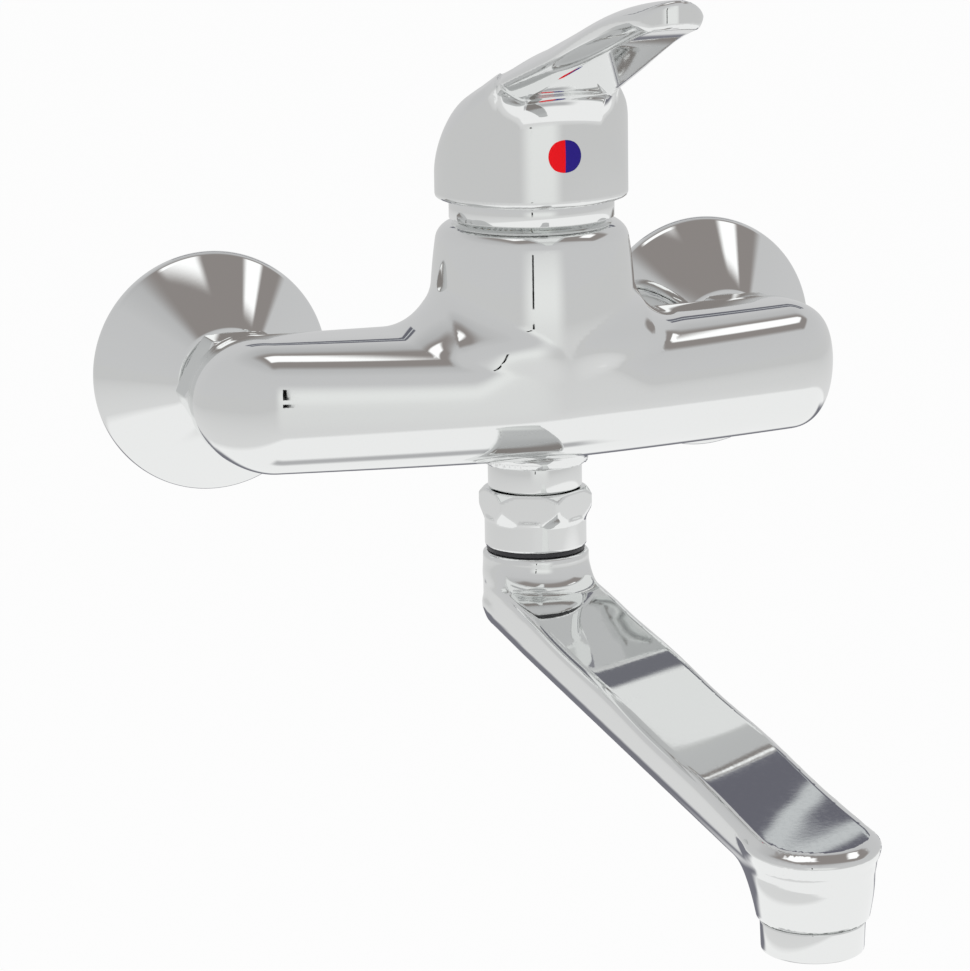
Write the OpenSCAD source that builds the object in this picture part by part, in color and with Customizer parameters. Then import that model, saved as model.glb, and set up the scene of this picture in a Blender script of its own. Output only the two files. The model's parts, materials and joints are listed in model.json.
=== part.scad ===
// Wall-mounted single-lever mixer tap with a swivel spout.
// The wall face is y = 0, the room is on -y, and z = 0 is the height of the wall studs.

/* [Wall connection] */
// Distance between the two inlet axes
inlet_spacing = 150; // [145:1:160]
// Height of the tap's inlet axes above the wall studs
union_offset = 8; // [4:0.5:8]
// Thread radius of the studs that screw into the wall
stud_r = 10.48; // [9.5:0.01:11]
// Length of the studs behind the wall face
stud_len = 16; // [10:1:25]
// Water bore radius of the studs
stud_bore_r = 7; // [5:0.5:7.5]
// Thread radius of the unions on the tap side
union_r = 13.22; // [12.5:0.01:14]
// Water bore radius of the unions on the tap side
union_bore_r = 8; // [6:0.5:9]
// Rim radius of the wall rosettes
rosette_r = 34.1; // [30:0.1:38]
// Depth of the rosettes from the wall to the hub
rosette_depth = 20; // [17:0.5:22]
// Height of the rosettes' cylindrical rim
rosette_rim = 2; // [1:0.5:4]
// Width of the flat face at the rosettes' foot
rosette_foot = 1.2; // [1:0.1:2]

/* [Union nuts] */
// Length of the union nuts
union_nut_len = 12.8; // [11.5:0.1:14]
// Wall of the union nuts at the middle of a flat
union_nut_wall = 1.7; // [1.4:0.1:2.5]
// Thickness of the nuts' lip behind the nipple flange
union_nut_lip = 2.8; // [2:0.1:3.5]
// Radius of the inlet nipples' shank
nipple_r = 9; // [8.8:0.1:9.6]
// Length of the nipple shank inside the body
nipple_depth = 12.5; // [10:0.5:15]
// Thickness of the nipples' flange
nipple_flange = 2.5; // [2:0.1:3]
// Water bore radius of the nipples
nipple_bore_r = 6; // [5:0.1:6.4]
// Thickness of the inlet seals
inlet_seal = 2; // [1.5:0.1:3]

/* [Body] */
// Distance of the body's inlet faces from the wall
body_back = 37.5; // [36:0.5:42]
// Distance of the body's front from the wall, at the middle
body_front = 87.5; // [84:0.5:92]
// How far the front falls back at the inlets
body_bow = 20; // [12:0.5:24]
// Half height of the body, and the radius of its round ends
body_r = 18.6; // [17.5:0.1:20]
// Radius of the round faces that the union nuts meet
inlet_boss_r = 17; // [15:0.1:17.4]
// How far the inlet faces stand out of the body's back
inlet_boss = 1.2; // [0.5:0.1:2]
// Distance of the swivel axis from the wall
axis_reach = 61.4; // [59:0.2:65]
// Radius of the tower at its foot
tower_foot_r = 28.2; // [27:0.1:30]
// Radius of the tower under its shoulder
tower_r = 26.4; // [25.8:0.1:27]
// Rounding of the tower's shoulder
shoulder_r = 4.5; // [3:0.1:5]
// Height of the tower's top above the inlet axes
tower_top = 46.8; // [45.5:0.1:50]
// Radius of the hollow between the tower and the arms
saddle_r = 14; // [10:0.5:16]
// Depth of the boss around the spout nipple below the body
outlet_boss = 1.8; // [1:0.1:3]
// Radius of the waterways inside the body
waterway_r = 5; // [3.5:0.1:5.5]

/* [Cartridge] */
// Outer radius of the cartridge
cartridge_r = 17.5; // [17:0.1:18]
// Wall of the cartridge housing
cartridge_wall = 2.3; // [1.8:0.1:2.5]
// Height of the cartridge's seat above the inlet axes
cartridge_seat = 9; // [8:0.1:9.5]
// Thickness of the cartridge base
base_t = 4; // [3.5:0.1:4.5]
// Radius of the cartridge's water ports
port_r = 3.4; // [2.5:0.1:3.6]
// Thickness of each ceramic disc
disc_t = 4; // [3.5:0.1:4.2]
// Radius of the moving disc and its carrier
moving_disc_r = 10.4; // [9.5:0.1:11]
// Thickness of the disc carrier
carrier_t = 5.5; // [5:0.1:5.5]
// Radius of the swivel's neck
neck_r = 11; // [10.5:0.1:11.5]
// Height of the neck above the housing
neck_len = 11; // [9:0.5:12]
// Height of the lever's pivot above the inlet axes
pivot_z = 38; // [37.5:0.1:38.5]
// Radius of the pivot pin
pin_r = 2; // [1.5:0.1:2.2]
// Width of the square lever stem
stem_w = 8; // [7:0.1:8.4]
// Height of the stem's top above the pivot
stem_top = 42; // [38:0.5:44]
// Radius of the ball at the stem's lower end
stem_ball_r = 3.3; // [3:0.1:3.5]
// Thread radius of the retaining nut
retainer_r = 19.5; // [19.2:0.1:20]
// Hole radius of the retaining nut
retainer_hole_r = 13; // [12.5:0.1:14]
// Radius of the cover collar under the handle
collar_r = 22.55; // [22:0.05:22.6]
// Radius of the collar's dome about the pivot
dome_r = 27.3; // [26.8:0.1:27.4]
// Wall of the collar's dome
dome_wall = 2.8; // [2.6:0.1:3.2]
// Hole radius in the dome, where the stem swings
dome_hole_r = 14.5; // [14.2:0.1:15]

/* [Handle] */
// Radius of the handle's skirt
skirt_r = 26.35; // [26.1:0.05:27]
// Wall of the skirt at its lower edge
skirt_wall = 2.7; // [2.4:0.1:2.8]
// Height of the skirt's lower edge above the inlet axes
skirt_z = 53.3; // [53:0.1:54.5]
// Gap between the collar's dome and the handle's hollow
dome_gap = 0.6; // [0.4:0.1:0.8]
// Height of the handle's crest over the swivel axis
crest_z = 87.4; // [86:0.1:91]
// Rise of the crest towards the front, in degrees
crest_rise = 18; // [14:0.5:20]
// Radius of the handle's crown across its crest
crown_r = 32; // [28:1:40]
// Reach of the lever's tip from the swivel axis
lever_reach = 106.8; // [100:0.5:115]
// Height of the lever's tip above the inlet axes
lever_tip_z = 115; // [112:0.5:118]
// Thickness of the lever at its tip
lever_tip_t = 4.5; // [4:0.1:6]
// Half width of the lever at its tip
lever_tip_w = 10; // [8:0.5:12]
// Height of the lever's underside where it leaves the skirt
lever_root_z = 81; // [79:0.5:83]
// Half width of the lever where it leaves the skirt
lever_root_w = 19.5; // [18:0.1:22]
// Height of the index plug above the inlet axes
index_z = 67.2; // [66.5:0.1:68]
// Radius of the index plug
index_r = 4.6; // [4:0.1:5]
// Thickness of the index plug
index_t = 3; // [2.5:0.1:3.5]
// Thread radius of the set screw
screw_r = 2.5; // [2:0.1:3]
// Length of the set screw
screw_len = 10; // [8:0.5:12]

/* [Spout joint] */
// Radius of the spout nipple's collar
outlet_collar_r = 13; // [12:0.1:14]
// Length of the collar that shows under the body
outlet_collar_len = 7.1; // [6:0.1:9]
// Thread radius of the spout nipple
outlet_thread_r = 10.48; // [10:0.01:11]
// Water bore radius of the spout nipple
outlet_bore_r = 7; // [5:0.5:7.5]
// Length of the spout nut
spout_nut_len = 16.2; // [15:0.1:18]
// Length of the spout nut's hexagon
spout_nut_hex = 10; // [8:0.5:11]
// Width of the spout nut across its flats
spout_nut_af = 27.5; // [27:0.1:30]
// Radius of the spout nut's round foot
spout_nut_r = 14.2; // [13.5:0.1:14.8]
// Thickness of the spout nut's lip
spout_nut_lip = 4; // [3:0.1:5]
// Turn of the spout nut's hexagon about the swivel axis
spout_nut_turn = -26.9; // [-30:0.1:30]
// Radius of the slide ring
slide_ring_r = 13.6; // [13:0.1:14.5]
// Thickness of the slide ring
slide_ring_t = 1.4; // [1:0.1:2]
// Radius of the spout's tail inside the nut
tail_r = 8.5; // [8:0.1:9]
// Thickness of the tail's flange
tail_flange = 1.4; // [1.2:0.1:2]
// Thickness of the spout seal
spout_seal_t = 1.3; // [1:0.1:2]

/* [Spout] */
// Radius of the spout's socket
socket_r = 14.7; // [14:0.1:15.5]
// Distance between the swivel axis and the outlet axis
spout_reach = 186.1; // [150:1:230]
// Half width of the spout
spout_w = 15; // [14.5:0.1:16]
// Depth of the spout's top face below its socket, at the swivel axis
spout_drop = 7; // [6:0.1:10]
// Fall of the spout towards the outlet, in degrees
spout_fall = 6.1; // [4:0.1:8]
// Thickness of the spout at the socket
spout_root_t = 15.5; // [14:0.1:17]
// Thickness of the spout at the outlet
spout_tip_t = 11.8; // [11:0.1:14]
// Radius of the waterway in the spout
spout_bore_r = 3.6; // [3:0.1:4]
// Height of the outlet block under the spout's top face
outlet_block = 20.6; // [19:0.1:24]
// Radius of the outlet block's lower edge
outlet_r = 13.2; // [12.8:0.1:14]

/* [Aerator] */
// Radius of the aerator's ring
aerator_r = 12.45; // [12:0.05:12.7]
// Height of the aerator's ring below the outlet block
aerator_ring = 7.7; // [6:0.1:10]
// Thread radius of the aerator
aerator_thread_r = 11; // [10.6:0.1:11.4]
// Length of the aerator's thread
aerator_thread = 8; // [6:0.1:8.5]
// Wall of the aerator's housing at the thread
aerator_wall = 1.4; // [1:0.1:1.8]
// Radius of each hole of the aerator's insert
aerator_hole_r = 0.9; // [0.6:0.1:1]
// Thickness of the aerator's seal
aerator_seal_t = 1.5; // [1:0.1:2]

/* [Hidden] */
$fn = 96;

chrome = [0.82, 0.83, 0.85];
brass = [0.76, 0.62, 0.32];
black = [0.08, 0.08, 0.09];
white = [0.93, 0.93, 0.9];
red = [0.93, 0.11, 0.14];
blue = [0.18, 0.14, 0.51];

// Overshoot of a cutting solid, thread clearance, running clearance and free clearance
cut = 1;
thread_gap = 0.08;
run_gap = 0.07;
free_gap = 0.2;
// Step where a cast skin meets a turned face, so that the two never share a wall
skin_step = 0.25;

inlet_x = inlet_spacing / 2;

// Distances from the wall along an inlet axis, and of the waterways across the body
union_nut_face = body_back - free_gap;
flange_face = union_nut_face - union_nut_lip;
seal_face = flange_face - nipple_flange;
union_end = seal_face - inlet_seal;
union_nut_back = union_nut_face - union_nut_len;
union_overlap = [4, 12];
stud_start = 1;
inlet_run = body_back + nipple_depth + waterway_r + cut;
union_nut_af = 2 * (union_r + thread_gap + union_nut_wall);

// Heights above the inlet axes along the swivel axis
housing_foot = cartridge_seat + base_t;
moving_foot = housing_foot + disc_t;
carrier_foot = moving_foot + disc_t;
swivel_foot = carrier_foot + carrier_t + free_gap;
swivel_flange = 3;
housing_roof = swivel_foot + swivel_flange + run_gap;
housing_top = housing_roof + cartridge_wall;
neck_top = housing_top + neck_len;
housing_inner_r = cartridge_r - cartridge_wall;
retainer_sink = 0.4;
retainer_rise = 3.5;
neck_step = 0.9;
retainer_step = tower_top - retainer_sink;
retainer_top = tower_top + retainer_rise;
retainer_crown_r = retainer_r - neck_step;
ball_z = carrier_foot + stem_ball_r + free_gap;
disc_travel = 4.2;
stem_shank_r = stem_ball_r - neck_step;
hollow_r = dome_r + dome_gap;
// Places of the two inlet ports and the outlet port about the swivel axis
port_side = 8;
port_back = 5.4;
ports = [[-port_side, port_back], [port_side, port_back], [0, -6.5]];
port_seal_w = 1.6;
port_seal_t = 1;
port_seal_r = port_r + port_seal_w;

// Heights below the inlet axes along the swivel axis
nipple_top = -10;
collar_top = -body_r - outlet_boss;
spout_nut_top = collar_top - outlet_collar_len;
spout_nut_foot = spout_nut_top - spout_nut_len;
lip_top = spout_nut_foot + spout_nut_lip;
tail_top = lip_top + run_gap + tail_flange;
spout_seal_foot = tail_top + run_gap;
outlet_thread_end = spout_seal_foot + spout_seal_t;
slide_ring_foot = spout_nut_foot - slide_ring_t;
socket_top = slide_ring_foot - run_gap;
tail_flange_r = outlet_thread_r - free_gap;
nut_bore_r = outlet_thread_r + thread_gap;
tail_wall = 2;
tail_bore_r = tail_r - tail_wall;

// The spout's heights, and the outlet's
spout_root_z = socket_top - spout_drop;
function spout_top(run) = spout_root_z - run * tan(spout_fall);
outlet_top = spout_top(spout_reach);
outlet_foot = outlet_top - outlet_block;
aerator_foot = outlet_foot - aerator_ring;
aerator_top = outlet_foot + aerator_thread;
aerator_bore_r = aerator_thread_r - aerator_wall;
aerator_recess = 1.2;
spout_bore_depth = spout_tip_t / 2;

// A superellipse ordinate: 1 at the extreme, squarer for a larger power
function squared(v, power) = sign(v) * pow(abs(v), 2 / power);
function blend(a, b, share) = a + (b - a) * share;
function smooth(share) = share * share * (3 - 2 * share);
// A point of a quadratic curve through three control points
function curve(a, b, c, t) = (1 - t) * (1 - t) * a + 2 * t * (1 - t) * b + t * t * c;

// Shapes that repeat
module disc(r, z0, z1) {
    translate([0, 0, z0])
        cylinder(h = z1 - z0, r = r);
}

module ring(outer, inner, z0, z1) {
    difference() {
        disc(outer, z0, z1);
        disc(inner, z0 - cut, z1 + cut);
    }
}

module hexagon(flats, z0, z1) {
    translate([0, 0, z0])
        cylinder(h = z1 - z0, r = flats / sqrt(3), $fn = 6);
}

// A closed skin over rings of points that have equal counts
module loft(rings) {
    count = len(rings[0]);
    last = len(rings) - 1;
    sides = [
        for (i = [0 : last - 1], j = [0 : count - 1], half = [0, 1])
            let (a = i * count + j, b = i * count + (j + 1) % count)
            half == 0 ? [a, b, b + count] : [a, b + count, a + count]
    ];
    first_cap = [for (j = [1 : count - 2]) [0, j + 1, j]];
    last_cap = [for (j = [1 : count - 2]) [last * count, last * count + j, last * count + j + 1]];
    polyhedron(
        points = [for (r = rings) each r],
        faces = concat(sides, first_cap, last_cap)
    );
}

// Places: the swivel axis, and an inlet axis whose height runs into the room
module on_axis() {
    translate([0, -axis_reach, union_offset])
        children();
}

module on_inlet(side) {
    translate([side * inlet_x, 0, union_offset])
        rotate([90, 0, 0])
            children();
}

module on_outlet() {
    on_axis()
        translate([0, -spout_reach, 0])
            children();
}

module at_ports() {
    for (p = ports)
        translate([p.x, p.y, 0])
            children();
}

// Wall connection
module rosette(side) {
    hub_r = union_r + thread_gap;
    color(chrome)
        on_inlet(side)
            rotate_extrude()
                polygon([
                    [rosette_r - rosette_foot, 0],
                    [rosette_r, 0],
                    [rosette_r, rosette_rim],
                    [hub_r + rosette_foot, rosette_depth],
                    [hub_r, rosette_depth],
                    [hub_r, rosette_depth - rosette_rim]
                ]);
}

module s_union(side) {
    color(chrome)
        on_inlet(side)
            difference() {
                union() {
                    disc(union_r, union_overlap[0], union_end);
                    translate([0, -union_offset, 0]) {
                        disc(stud_r, -stud_len, -stud_start);
                        disc(stud_r - neck_step, -stud_len / 2, union_overlap[1]);
                    }
                }
                disc(union_bore_r, union_overlap[0] * 2, union_end + cut);
                translate([0, -union_offset, 0])
                    disc(stud_bore_r, -stud_len - cut, union_overlap[1] - cut);
            }
}

module union_nut(side) {
    color(chrome)
        on_inlet(side)
            difference() {
                hexagon(union_nut_af, union_nut_back, union_nut_face);
                disc(union_r + thread_gap, union_nut_back - cut, flange_face);
                disc(nipple_r + thread_gap, flange_face - cut, union_nut_face + cut);
            }
}

module inlet_nipple(side) {
    color(brass)
        on_inlet(side)
            difference() {
                union() {
                    disc(union_r - thread_gap, seal_face, flange_face);
                    disc(nipple_r, seal_face, body_back + nipple_depth);
                }
                disc(nipple_bore_r, seal_face - cut, body_back + nipple_depth + cut);
            }
}

module inlet_seal_ring(side) {
    color(black)
        on_inlet(side)
            ring(union_r - thread_gap, max(union_bore_r, nipple_bore_r) + cut, union_end, seal_face);
}

// Body
arm_stations = 4;
saddle_stations = 6;
end_stations = 7;
ring_points = 36;
loaf_power = 2.7;
end_power = 0.6;
tip_angle = 86;
// Share of an arm over which the front bends round at the middle
bow_bend = 0.16;

// How far the front has fallen back at a share of the arm, from 0 to 1
function swept(arm) = (norm([arm, bow_bend]) - bow_bend) / (norm([1, bow_bend]) - bow_bend);
// A ring of the body at x, shrunk by share at the ends and raised where the tower grows out of it
function loaf_ring(x, share, rise) =
    let (
        arm = min(abs(x) / inlet_x, 1),
        back = body_back + inlet_boss,
        front = body_front - body_bow * swept(arm),
        middle = (front + back) / 2,
        half_depth = (front - back) / 2 * pow(share, end_power)
    )
    [for (i = [0 : ring_points - 1])
        let (a = -360 * i / ring_points, half_height = body_r * share + (sin(a) > 0 ? rise : 0))
        [x, -middle + half_depth * squared(cos(a), loaf_power), half_height * squared(sin(a), loaf_power)]];

// Half of the body, from its middle to an end: x, share and rise of each ring
function half_rings() =
    let (saddle_x = tower_foot_r + saddle_r, saddle_turn = 70)
    concat(
        [[0, 1, saddle_r * (1 - cos(saddle_turn))]],
        [for (i = [saddle_stations : -1 : 0])
            let (a = saddle_turn * i / saddle_stations)
            [saddle_x - saddle_r * sin(a), 1, saddle_r * (1 - cos(a))]],
        [for (i = [1 : arm_stations]) [blend(saddle_x, inlet_x, i / arm_stations), 1, 0]],
        [for (i = [1 : end_stations])
            let (a = tip_angle * i / end_stations)
            [inlet_x + body_r * sin(a), cos(a), 0]]
    );

module loaf() {
    half = half_rings();
    last = len(half) - 1;
    loft(concat(
        [for (i = [last : -1 : 1]) loaf_ring(-half[i][0], half[i][1], half[i][2])],
        [for (h = half) loaf_ring(h[0], h[1], h[2])]
    ));
}

module tower() {
    arc_x = tower_r - shoulder_r;
    arc_z = tower_top - shoulder_r;
    rotate_extrude()
        polygon(concat(
            [[0, -body_r / 2], [tower_r, -body_r / 2], [tower_foot_r, body_r]],
            [for (a = [0 : 15 : 90]) [arc_x + shoulder_r * cos(a), arc_z + shoulder_r * sin(a)]],
            [[0, tower_top]]
        ));
}

// Each inlet runs into the body, then across to its port under the cartridge
module waterways() {
    across = inlet_x - port_side;
    along = axis_reach - port_back - inlet_run;
    for (side = [-1, 1]) {
        on_inlet(side) {
            disc(nipple_r + thread_gap, body_back - cut, body_back + nipple_depth);
            disc(nipple_bore_r, body_back + cut, inlet_run + waterway_r + cut);
        }
        translate([side * inlet_x, -inlet_run, union_offset])
            rotate([0, 0, side * atan2(along, across)])
                rotate([0, -side * 90, 0])
                    disc(waterway_r, -cut, norm([across, along]) + waterway_r);
    }
    on_axis() {
        for (i = [0, 1])
            translate([ports[i].x, ports[i].y, 0])
                disc(port_r, 0, cartridge_seat + cut);
        translate([ports[2].x, ports[2].y, 0])
            disc(port_r, nipple_top - cut, cartridge_seat + cut);
    }
}

module mixer_body() {
    color(chrome)
        difference() {
            union() {
                translate([0, 0, union_offset])
                    loaf();
                for (side = [-1, 1])
                    on_inlet(side)
                        disc(inlet_boss_r, body_back, body_back + nipple_depth);
                on_axis() {
                    tower();
                    disc(outlet_collar_r + outlet_boss, collar_top, nipple_top);
                }
            }
            on_axis() {
                disc(cartridge_r + thread_gap, cartridge_seat, tower_top + cut);
                disc(retainer_r + thread_gap, housing_top, tower_top + cut);
                disc(outlet_thread_r + thread_gap, collar_top - cut, nipple_top);
            }
            waterways();
        }
}

// Cartridge
module cartridge_base() {
    color(white)
        on_axis()
            difference() {
                disc(cartridge_r, cartridge_seat, housing_foot);
                at_ports() {
                    disc(port_r, cartridge_seat - cut, housing_foot + cut);
                    disc(port_seal_r, cartridge_seat - cut, cartridge_seat + port_seal_t);
                }
            }
}

module cartridge_base_seals() {
    color(black)
        on_axis()
            at_ports()
                ring(port_seal_r, port_r, cartridge_seat, cartridge_seat + port_seal_t);
}

module fixed_ceramic_disc() {
    color(white)
        on_axis()
            difference() {
                disc(housing_inner_r - free_gap / 2, housing_foot, moving_foot - run_gap);
                at_ports()
                    disc(port_r, housing_foot - cut, moving_foot + cut);
            }
}

// Closed, the disc and its carrier stand half their travel behind the swivel axis
module on_closed_disc() {
    on_axis()
        translate([0, disc_travel / 2, 0])
            children();
}

module moving_ceramic_disc() {
    chamber_wall = 4;
    color(white)
        on_closed_disc()
            difference() {
                disc(moving_disc_r, moving_foot, carrier_foot);
                disc(moving_disc_r - chamber_wall, moving_foot - cut, moving_foot + disc_t / 2);
            }
}

module disc_carrier() {
    slot_r = stem_ball_r + disc_travel / 2 + free_gap;
    color(black)
        on_closed_disc()
            ring(moving_disc_r, slot_r, carrier_foot, carrier_foot + carrier_t);
}

module cartridge_housing() {
    color(white)
        on_axis()
            difference() {
                disc(cartridge_r, housing_foot, housing_top);
                disc(housing_inner_r, housing_foot - cut, housing_roof);
                disc(neck_r + run_gap, housing_foot, housing_top + cut);
            }
}

module cartridge_swivel() {
    slot_w = stem_w + 2 * free_gap;
    slot_l = 2 * (stem_w - 1);
    color(black)
        on_axis()
            difference() {
                union() {
                    disc(housing_inner_r - free_gap, swivel_foot, swivel_foot + swivel_flange);
                    disc(neck_r, swivel_foot, neck_top);
                }
                translate([-slot_w / 2, -slot_l / 2, swivel_foot - cut])
                    cube([slot_w, slot_l, neck_top - swivel_foot + 2 * cut]);
                translate([0, 0, pivot_z])
                    rotate([0, 90, 0])
                        disc(pin_r, -neck_r - cut, neck_r + cut);
            }
}

module pivot_pin() {
    color(brass)
        on_axis()
            translate([0, 0, pivot_z])
                rotate([0, 90, 0])
                    disc(pin_r, -neck_r + free_gap, neck_r - free_gap);
}

module lever_stem() {
    shank_top = pivot_z - stem_w / 2;
    color(brass)
        on_axis()
            difference() {
                union() {
                    translate([-stem_w / 2, -stem_w / 2, shank_top])
                        cube([stem_w, stem_w, pivot_z + stem_top - shank_top]);
                    disc(stem_shank_r, ball_z, shank_top + cut);
                    translate([0, 0, ball_z])
                        sphere(stem_ball_r);
                }
                translate([0, 0, pivot_z])
                    rotate([0, 90, 0])
                        disc(pin_r + run_gap, -stem_w, stem_w);
            }
}

module retaining_nut() {
    color(brass)
        on_axis()
            difference() {
                union() {
                    disc(retainer_r, housing_top, retainer_step);
                    disc(retainer_crown_r, retainer_step, retainer_top);
                }
                disc(retainer_hole_r, housing_top - cut, retainer_top + cut);
            }
}

module cover_collar() {
    color(chrome)
        on_axis()
            difference() {
                intersection() {
                    disc(collar_r, tower_top, pivot_z + dome_r);
                    translate([0, 0, pivot_z])
                        sphere(dome_r);
                }
                disc(retainer_crown_r + thread_gap, tower_top - cut, retainer_top);
                intersection() {
                    disc(retainer_r, retainer_top - cut, pivot_z + dome_r);
                    translate([0, 0, pivot_z])
                        sphere(dome_r - dome_wall);
                }
                disc(dome_hole_r, tower_top, pivot_z + dome_r + cut);
            }
}

// Handle
lever_stations = 16;
lever_points = 28;
lever_power = 2.1;
crest_share = 0.62;
// How far the lever reaches back into the skirt
lever_bury = 14;
// Where its sides start to round off, where they would close, and the width left at the tip
tip_share = 0.94;
tip_close = 1.01;
tip_blunt = 0.6;
// Control offsets of the underside and of the half width
foot_drop = 4;
foot_lift = 9;
flare = 2.5;
waist = 5;
lever_start = skirt_r - lever_bury;

// The lever's crest, underside and half width at a share of its run
function lever_run(t) = blend(lever_start, lever_reach, t);
function crest_line(run) = crest_z + run * tan(crest_rise);
function lever_top(t) = curve(crest_line(lever_start), crest_line(lever_reach * crest_share), lever_tip_z, t);
function lever_foot(t) =
    curve(lever_root_z - foot_drop, lever_root_z + foot_lift, lever_tip_z - lever_tip_t, t);
function lever_half_w(t) =
    let (
        half_w = curve(lever_root_w + flare, lever_root_w - waist, lever_tip_w - skin_step, t),
        past = max(0, t - tip_share) / (tip_close - tip_share)
    )
    half_w * blend(tip_blunt, 1, sqrt(1 - past * past));

function lever_ring(t) =
    let (
        middle = (lever_top(t) + lever_foot(t)) / 2,
        half_t = (lever_top(t) - lever_foot(t)) / 2
    )
    [for (i = [0 : lever_points - 1])
        let (a = -360 * i / lever_points)
        [
            lever_half_w(t) * squared(cos(a), lever_power),
            -lever_run(t),
            middle + half_t * squared(sin(a), lever_power)
        ]];

module crowned_skirt() {
    intersection() {
        disc(skirt_r, skirt_z, crest_z + skirt_r);
        translate([0, 0, crest_z])
            rotate([90 - crest_rise, 0, 0])
                translate([0, -crown_r, 0])
                    disc(crown_r, -2 * skirt_r, 2 * skirt_r);
    }
}

module lever_handle() {
    tilt_room = 6;
    inner_r = skirt_r - skirt_wall;
    hollow_z = pivot_z + sqrt(pow(hollow_r, 2) - pow(inner_r, 2));
    color(chrome)
        on_axis()
            difference() {
                union() {
                    crowned_skirt();
                    loft([for (i = [0 : lever_stations]) lever_ring(i / lever_stations)]);
                }
                disc(inner_r, skirt_z - cut, hollow_z + cut);
                translate([0, 0, pivot_z])
                    sphere(hollow_r);
                translate([-skirt_r - cut, skirt_r / 4, skirt_z])
                    rotate([tilt_room, 0, 0])
                        translate([0, 0, -skirt_r])
                            cube([2 * (skirt_r + cut), 2 * skirt_r, skirt_r]);
                translate([-stem_w / 2, -stem_w / 2, pivot_z])
                    cube([stem_w, stem_w, stem_top]);
                translate([0, 0, index_z])
                    rotate([90, 0, 0]) {
                        disc(screw_r, 0, skirt_r + cut);
                        disc(index_r, skirt_r - index_t, skirt_r + cut);
                    }
            }
}

module handle_set_screw() {
    color(black)
        on_axis()
            translate([0, 0, index_z])
                rotate([90, 0, 0])
                    difference() {
                        disc(screw_r, stem_w / 2, stem_w / 2 + screw_len);
                        hexagon(screw_r, stem_w / 2 + screw_len - screw_r, stem_w / 2 + screw_len + cut);
                    }
}

module index_half(side, tint) {
    color(tint)
        on_axis()
            translate([0, 0, index_z])
                rotate([90, 0, 0])
                    intersection() {
                        disc(index_r, skirt_r - index_t, skirt_r);
                        translate([side > 0 ? 0 : -index_r, -index_r, 0])
                            cube([index_r, 2 * index_r, skirt_r]);
                    }
}

// Spout joint
module spout_nipple() {
    color(chrome)
        on_axis()
            difference() {
                union() {
                    disc(outlet_collar_r, spout_nut_top, collar_top);
                    disc(outlet_thread_r, outlet_thread_end, nipple_top);
                }
                disc(outlet_bore_r, outlet_thread_end - cut, nipple_top + cut);
            }
}

module spout_seal() {
    color(black)
        on_axis()
            ring(outlet_thread_r, outlet_bore_r, spout_seal_foot, outlet_thread_end);
}

module spout_nut() {
    hex_foot = spout_nut_top - spout_nut_hex;
    chamfer = 1.5;
    corner_r = spout_nut_af / sqrt(3);
    color(chrome)
        on_axis()
            difference() {
                union() {
                    intersection() {
                        rotate([0, 0, spout_nut_turn])
                            hexagon(spout_nut_af, hex_foot, spout_nut_top);
                        rotate_extrude()
                            polygon([
                                [0, hex_foot], [spout_nut_r, hex_foot], [corner_r, hex_foot + 2 * chamfer],
                                [corner_r, spout_nut_top - chamfer], [corner_r - chamfer, spout_nut_top],
                                [0, spout_nut_top]
                            ]);
                    }
                    disc(spout_nut_r, spout_nut_foot, hex_foot);
                }
                disc(nut_bore_r, lip_top, spout_nut_top + cut);
                disc(tail_r + run_gap, spout_nut_foot - cut, lip_top + cut);
            }
}

module slide_ring() {
    color(black)
        on_axis()
            ring(slide_ring_r, tail_r + run_gap, slide_ring_foot, spout_nut_foot);
}

// Spout
spout_stations = 18;
root_stations = 7;
spout_points = 32;
top_power = 9;
foot_power = 3.6;
// How far the foot is drawn up behind the socket, and the share of the run where the bar widens
root_draw = 0.55;
widen_share = 1 / 6;

// The thickness at a run from the swivel axis
function spout_t(run) = blend(spout_root_t, spout_tip_t, max(0, run) / spout_reach);

function spout_ring(run, half_w, lift) =
    let (
        top = spout_top(max(0, run)),
        foot = top - spout_t(run) + lift,
        middle = (top + foot) / 2,
        half_t = (top - foot) / 2
    )
    [for (i = [0 : spout_points - 1])
        let (a = -360 * i / spout_points, power = sin(a) > 0 ? top_power : foot_power)
        [half_w * squared(cos(a), power), -run, middle + half_t * squared(sin(a), power)]];

module spout_bar() {
    turn = 85;
    root_r = socket_r - skin_step;
    back = [for (i = [0 : root_stations - 1]) turn * (1 - i / root_stations)];
    front = [for (i = [1 : root_stations]) turn * i / root_stations];
    loft(concat(
        [for (a = back)
            spout_ring(-root_r * sin(a), root_r * cos(a), spout_root_t * root_draw * (1 - cos(a)))],
        [for (i = [0 : spout_stations])
            let (t = i / spout_stations)
            spout_ring(spout_reach * t, blend(root_r, spout_w, smooth(min(1, t / widen_share))), 0)],
        [for (a = front) spout_ring(spout_reach + spout_w * sin(a), spout_w * cos(a), 0)]
    ));
}

module spout() {
    bore_root_z = spout_top(0) - spout_bore_depth;
    color(chrome)
        difference() {
            union() {
                on_axis() {
                    spout_bar();
                    disc(socket_r, spout_root_z - spout_root_t / 2, socket_top);
                    disc(tail_r, socket_top - cut, tail_top);
                    disc(tail_flange_r, tail_top - tail_flange, tail_top);
                }
                on_outlet()
                    translate([0, 0, outlet_foot])
                        cylinder(h = outlet_block - spout_tip_t / 3, r1 = outlet_r, r2 = spout_w - skin_step);
            }
            on_axis() {
                disc(tail_bore_r, bore_root_z, tail_top + cut);
                translate([0, 0, bore_root_z])
                    rotate([90 + spout_fall, 0, 0])
                        disc(spout_bore_r, 0, spout_reach / cos(spout_fall));
            }
            on_outlet() {
                disc(aerator_thread_r + thread_gap, outlet_foot - cut, aerator_top + aerator_seal_t);
                disc(aerator_bore_r - aerator_wall, outlet_foot, spout_top(spout_reach) - spout_bore_depth);
            }
        }
}

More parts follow.
